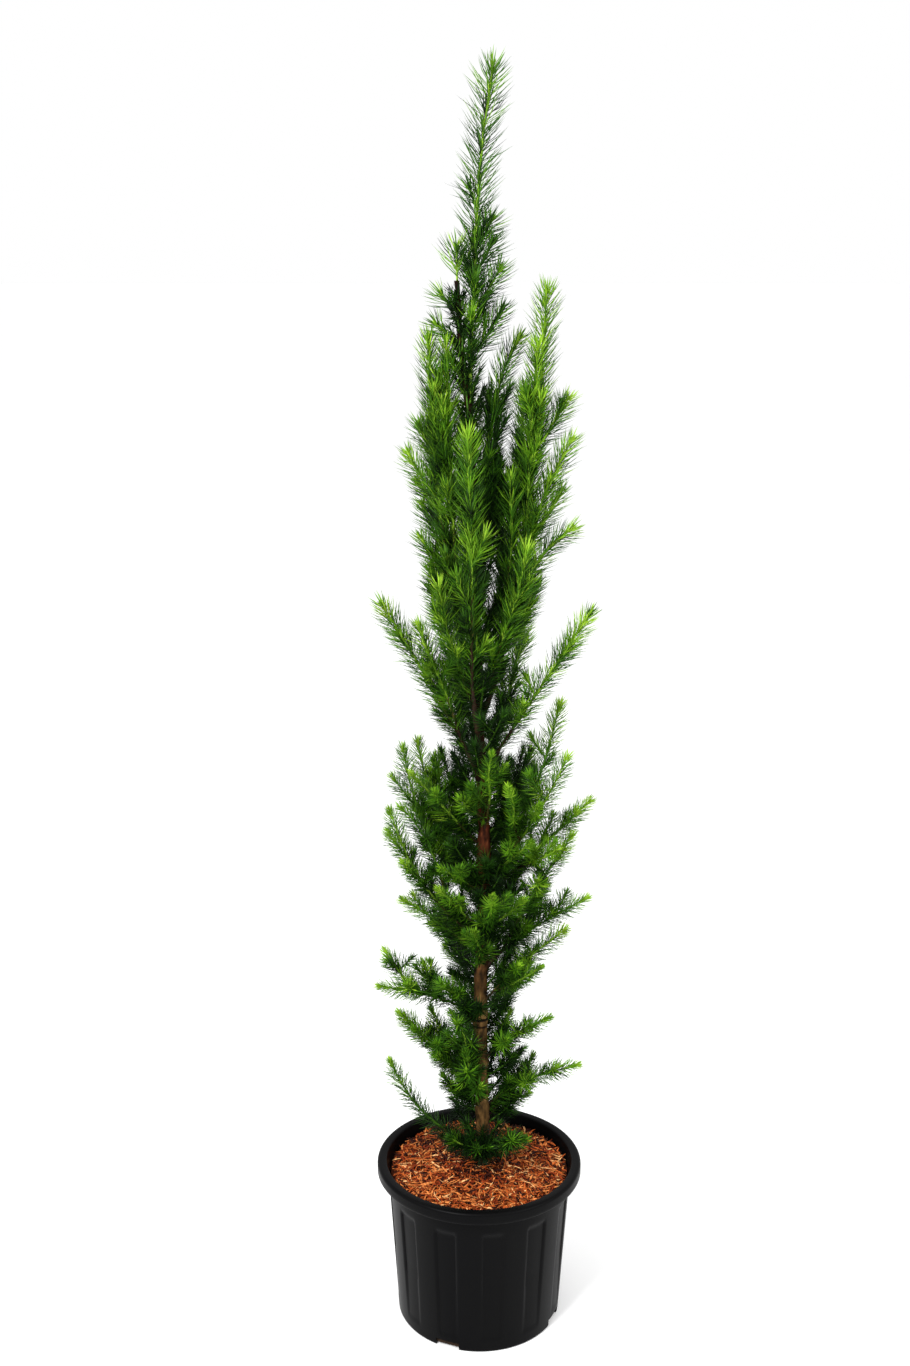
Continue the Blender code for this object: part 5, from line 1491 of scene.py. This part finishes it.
class Finish:
    """A material while its nodes are put together."""

    def __init__(self, name, roughness, specular):
        self.made = bpy.data.materials.new(name)
        self.made.use_nodes = True
        self.nodes = self.made.node_tree.nodes
        self.shader = self.nodes["Principled BSDF"]
        self.shader.inputs["Roughness"].default_value = roughness
        self.shader.inputs["Specular IOR Level"].default_value = specular

    def join(self, source, node, socket):
        """Link an output to a node's input."""
        self.made.node_tree.links.new(source, node.inputs[socket])

    def node(self, kind, **values):
        """A new node with plain values on some of its inputs."""
        made = self.nodes.new(kind)
        for socket, value in values.items():
            made.inputs[socket.replace("_", " ")].default_value = value
        return made

    def place(self):
        """Places in the object's own space."""
        return self.node("ShaderNodeTexCoord").outputs["Object"]

    def noise(self, scale, detail, stretch=(1, 1, 1)):
        """Noise over the surface, stretched along an axis."""
        mapping = self.node("ShaderNodeMapping", Scale=stretch)
        noise = self.node("ShaderNodeTexNoise", Scale=scale, Detail=detail)
        self.join(self.place(), mapping, "Vector")
        self.join(mapping.outputs["Vector"], noise, "Vector")
        return noise.outputs["Fac"]

    def ramp(self, source, stops):
        """A colour ramp from places and sRGB colours."""
        ramp = self.node("ShaderNodeValToRGB")
        elements = ramp.color_ramp.elements
        while len(elements) < len(stops):
            elements.new(0.5)
        for element, (place, colour) in zip(elements, stops):
            element.position = place
            element.color = (*srgb(colour), 1.0)
        self.join(source, ramp, "Fac")
        return ramp.outputs["Color"]

    def height_share(self, low, high):
        """A share that runs from 0 to 1 between two heights on the piece."""
        parts = self.node("ShaderNodeSeparateXYZ")
        share = self.node("ShaderNodeMapRange", From_Min=low, From_Max=high)
        self.join(self.place(), parts, "Vector")
        self.join(parts.outputs["Z"], share, "Value")
        return share.outputs["Result"]

    def mix(self, kind, factor, first, second):
        """Two colours blended or multiplied by a factor that is a number or an output."""
        mix = self.nodes.new("ShaderNodeMix")
        mix.data_type = "RGBA"
        mix.blend_type = kind
        if isinstance(factor, float):
            mix.inputs["Factor"].default_value = factor
        else:
            self.join(factor, mix, "Factor")
        self.join(first, mix, "A")
        self.join(second, mix, "B")
        return mix.outputs["Result"]

    def bump(self, height, strength, distance):
        """Bump from a height output."""
        bump = self.node("ShaderNodeBump", Strength=strength, Distance=distance)
        self.join(height, bump, "Height")
        self.join(bump.outputs["Normal"], self.shader, "Normal")


def grained(name, grain, dark, light):
    """A material whose colour follows its grain, and the grain itself."""
    finish = Finish(name, grain.roughness, grain.specular)
    noise = finish.noise(grain.scale, grain.detail, grain.stretch)
    colour = finish.ramp(noise, tuple(zip(grain.ramp, (dark, light))))
    finish.join(colour, finish.shader, "Base Color")
    if grain.bump:
        finish.bump(noise, *grain.bump)
    return finish, noise


def tones(colour, darker, lighter):
    """A darker and a lighter tone of a colour."""
    return [c * darker for c in colour], [min(255, c * lighter) for c in colour]


def needle_finish(name, colour):
    """Soft green needles: one base colour with a faint change from spray to spray."""
    return grained(name, NEEDLE_GRAIN, *tones(colour, *NEEDLE_TONES))[0].made


def stem_finish(name):
    """Young bark of the stems, from green to brown, with fine lengthwise grooves."""
    light, dark = STEM_COLOURS[name]
    return grained(name + "_finish", STEM_GRAIN, dark, light)[0].made


def chip_finish(name, colour):
    """Shredded bark in one tone, with fibres and darker grain."""
    return grained(name + "_finish", CHIP_GRAIN, *tones(colour, *CHIP_TONES))[0].made


def soil_finish(name, colours):
    """Dark crumbs of soil or bark under the chips."""
    return grained(name, SOIL_GRAIN, *colours)[0].made


def bark_finish():
    """Bark in thin plates, olive brown low down and reddish above, with furrows, rings of painted shade in
    the grooves at the knot, and painted shade at the foot and from under the crown upwards.
    """
    finish = Finish("trunk_bark_finish", *BARK_GLOSS)
    plates = finish.noise(*PLATE_NOISE)
    patches = finish.noise(*PATCH_NOISE)
    low, high = (finish.ramp(plates, stops) for stops in (BARK_LOW, BARK_HIGH))
    colour = finish.mix("MIX", finish.height_share(*BARK_CHANGE), low, high)
    colour = finish.mix("MULTIPLY", TINT_SHARE, colour, finish.ramp(patches, BARK_TINT))
    # Painted shade in the knot's grooves, at the foot and under the crown
    for stretch, stops in ((KNOT_STRETCH, KNOT_GROOVE_SHADE), (SHADE_STRETCH, BARK_SHADE)):
        shade = finish.ramp(finish.height_share(*stretch), stops)
        colour = finish.mix("MULTIPLY", 1.0, colour, shade)
    finish.join(colour, finish.shader, "Base Color")
    finish.bump(plates, *BARK_BUMP)
    return finish.made


def plastic_finish():
    """Near black moulded plastic, satin, with a fine grain and faint dust."""
    finish, dust = grained("black_plastic_finish", DUST_GRAIN, *PLASTIC_COLOURS)
    least, most = PLASTIC_ROUGHNESS
    spread = finish.node("ShaderNodeMapRange", To_Min=least, To_Max=most)
    finish.join(dust, spread, "Value")
    finish.join(spread.outputs["Result"], finish.shader, "Roughness")
    finish.bump(finish.noise(*PLASTIC_NOISE), *PLASTIC_BUMP)
    return finish.made


# Stage


def make_floor():
    """A plain pale floor."""
    finish, _ = grained("floor_finish", FLOOR_GRAIN, *FLOOR_COLOURS)
    finish.shader.inputs["Emission Color"].default_value = WHITE
    finish.shader.inputs["Emission Strength"].default_value = FLOOR_GLOW
    corners = [(FLOOR_HALF * a, FLOOR_HALF * b, FLOOR_DROP) for a, b in SQUARE_CORNERS]
    floor = add_mesh("studio_floor", corners, [(0, 1, 2, 3)], finish.made, smooth=False)


def area_light(name, place, target, size, power):
    """A square soft box that faces a point."""
    light = bpy.data.lights.new(name, "AREA")
    light.shape = "SQUARE"
    light.size = size
    light.energy = power
    item = bpy.data.objects.new(name, light)
    item.location = place
    item.rotation_euler = (Vector(target) - Vector(place)).to_track_quat("-Z", "Y").to_euler()
    bpy.context.scene.collection.objects.link(item)


def make_light():
    """A white room with a soft key light from the front left above, and a weaker one from the right."""
    world = bpy.data.worlds.new("white_room")
    bpy.context.scene.world = world
    world.use_nodes = True
    sky = world.node_tree.nodes["Background"]
    sky.inputs["Color"].default_value = WHITE
    sky.inputs["Strength"].default_value = 1.0
    for name, values in LIGHTS.items():
        area_light(name, *values)
    bpy.context.scene.view_settings.view_transform = "Standard"


def make_camera():
    """The camera at the photograph's angle and distance."""
    data = bpy.data.cameras.new("camera")
    data.sensor_width = SENSOR
    data.lens = FOCAL_PIXELS / FRAME_HEIGHT * SENSOR
    camera = bpy.data.objects.new("camera", data)
    camera.location = CAMERA_PLACE
    camera.rotation_euler = (math.radians(90 - CAMERA_DOWN), 0, 0)
    bpy.context.scene.collection.objects.link(camera)
    bpy.context.scene.camera = camera


# The plant


def grow(paths):
    """Every stem of the crown, from the shoots of the table to the finest twigs."""
    limbs = limb_shapes(paths)
    stems = coarse_stems(paths, limbs)
    stems += inner_stems(limbs)
    stems += fine_stems(stems, limbs)
    return stems + placed_stems(paths)


def make_needles(stems, paths):
    """Needles along every stem, and rosettes on the trunk and the bare limbs."""
    field = NeedleField(crown_outline(stems))
    for stem in stems:
        field.along_stem(stem)
    places = [ROSETTE_LINE_STEP * i for i in range(ROSETTE_LINE_POINTS)]
    trunk_line = [trunk_centre(TRUNK_FOOT + ROSETTE_FOOT + place) for place in places]
    field.rosettes(trunk_line, trunk_radius, ROSETTE_STEP)
    for shoot in SHOOTS:
        if shoot.bare:
            line = part_of(paths[shoot.name], LIMB_ROSETTE_START, shoot.bare)
            field.rosettes(line, lambda z: LIMB_FOOT_RADIUS * FOOT_DEPTH, LIMB_ROSETTE_STEP)
    return field.pieces()


def put(piece, nodes=()):
    """Let a piece ride on the plant and stand for its nodes, which are hidden."""
    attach(piece, "root")
    if nodes:
        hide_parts(*nodes)


def finish_node(node, finish):
    """Give a node that stays a finish of its own."""
    mesh = frame["nodes"][node].data
    mesh.materials.clear()
    mesh.materials.append(finish)


def main():
    make_camera()
    make_light()
    make_floor()
    masses = [name for name in frame["nodes"] if name.startswith("foliage_")]
    limb_nodes = [name for name in frame["nodes"] if name.startswith("bough_")]
    paths = {}
    for shoot in SHOOTS:
        paths[shoot.name] = shoot_path(shoot, paths)
    stems = grow(paths)
    for piece in make_needles(stems, paths) + stem_pieces(stems):
        put(piece, masses)
    put(make_trunk(), ["trunk"])
    put(make_limbs(paths), limb_nodes)
    for piece in make_mulch():
        put(piece)
    put(make_pot(), ["pot"])
    finish_node("bark_mulch", soil_finish("mulch_bed_finish", MULCH_BED_COLOURS))
    finish_node("potting_mix", soil_finish("potting_mix_finish", SOIL_COLOURS))


main()
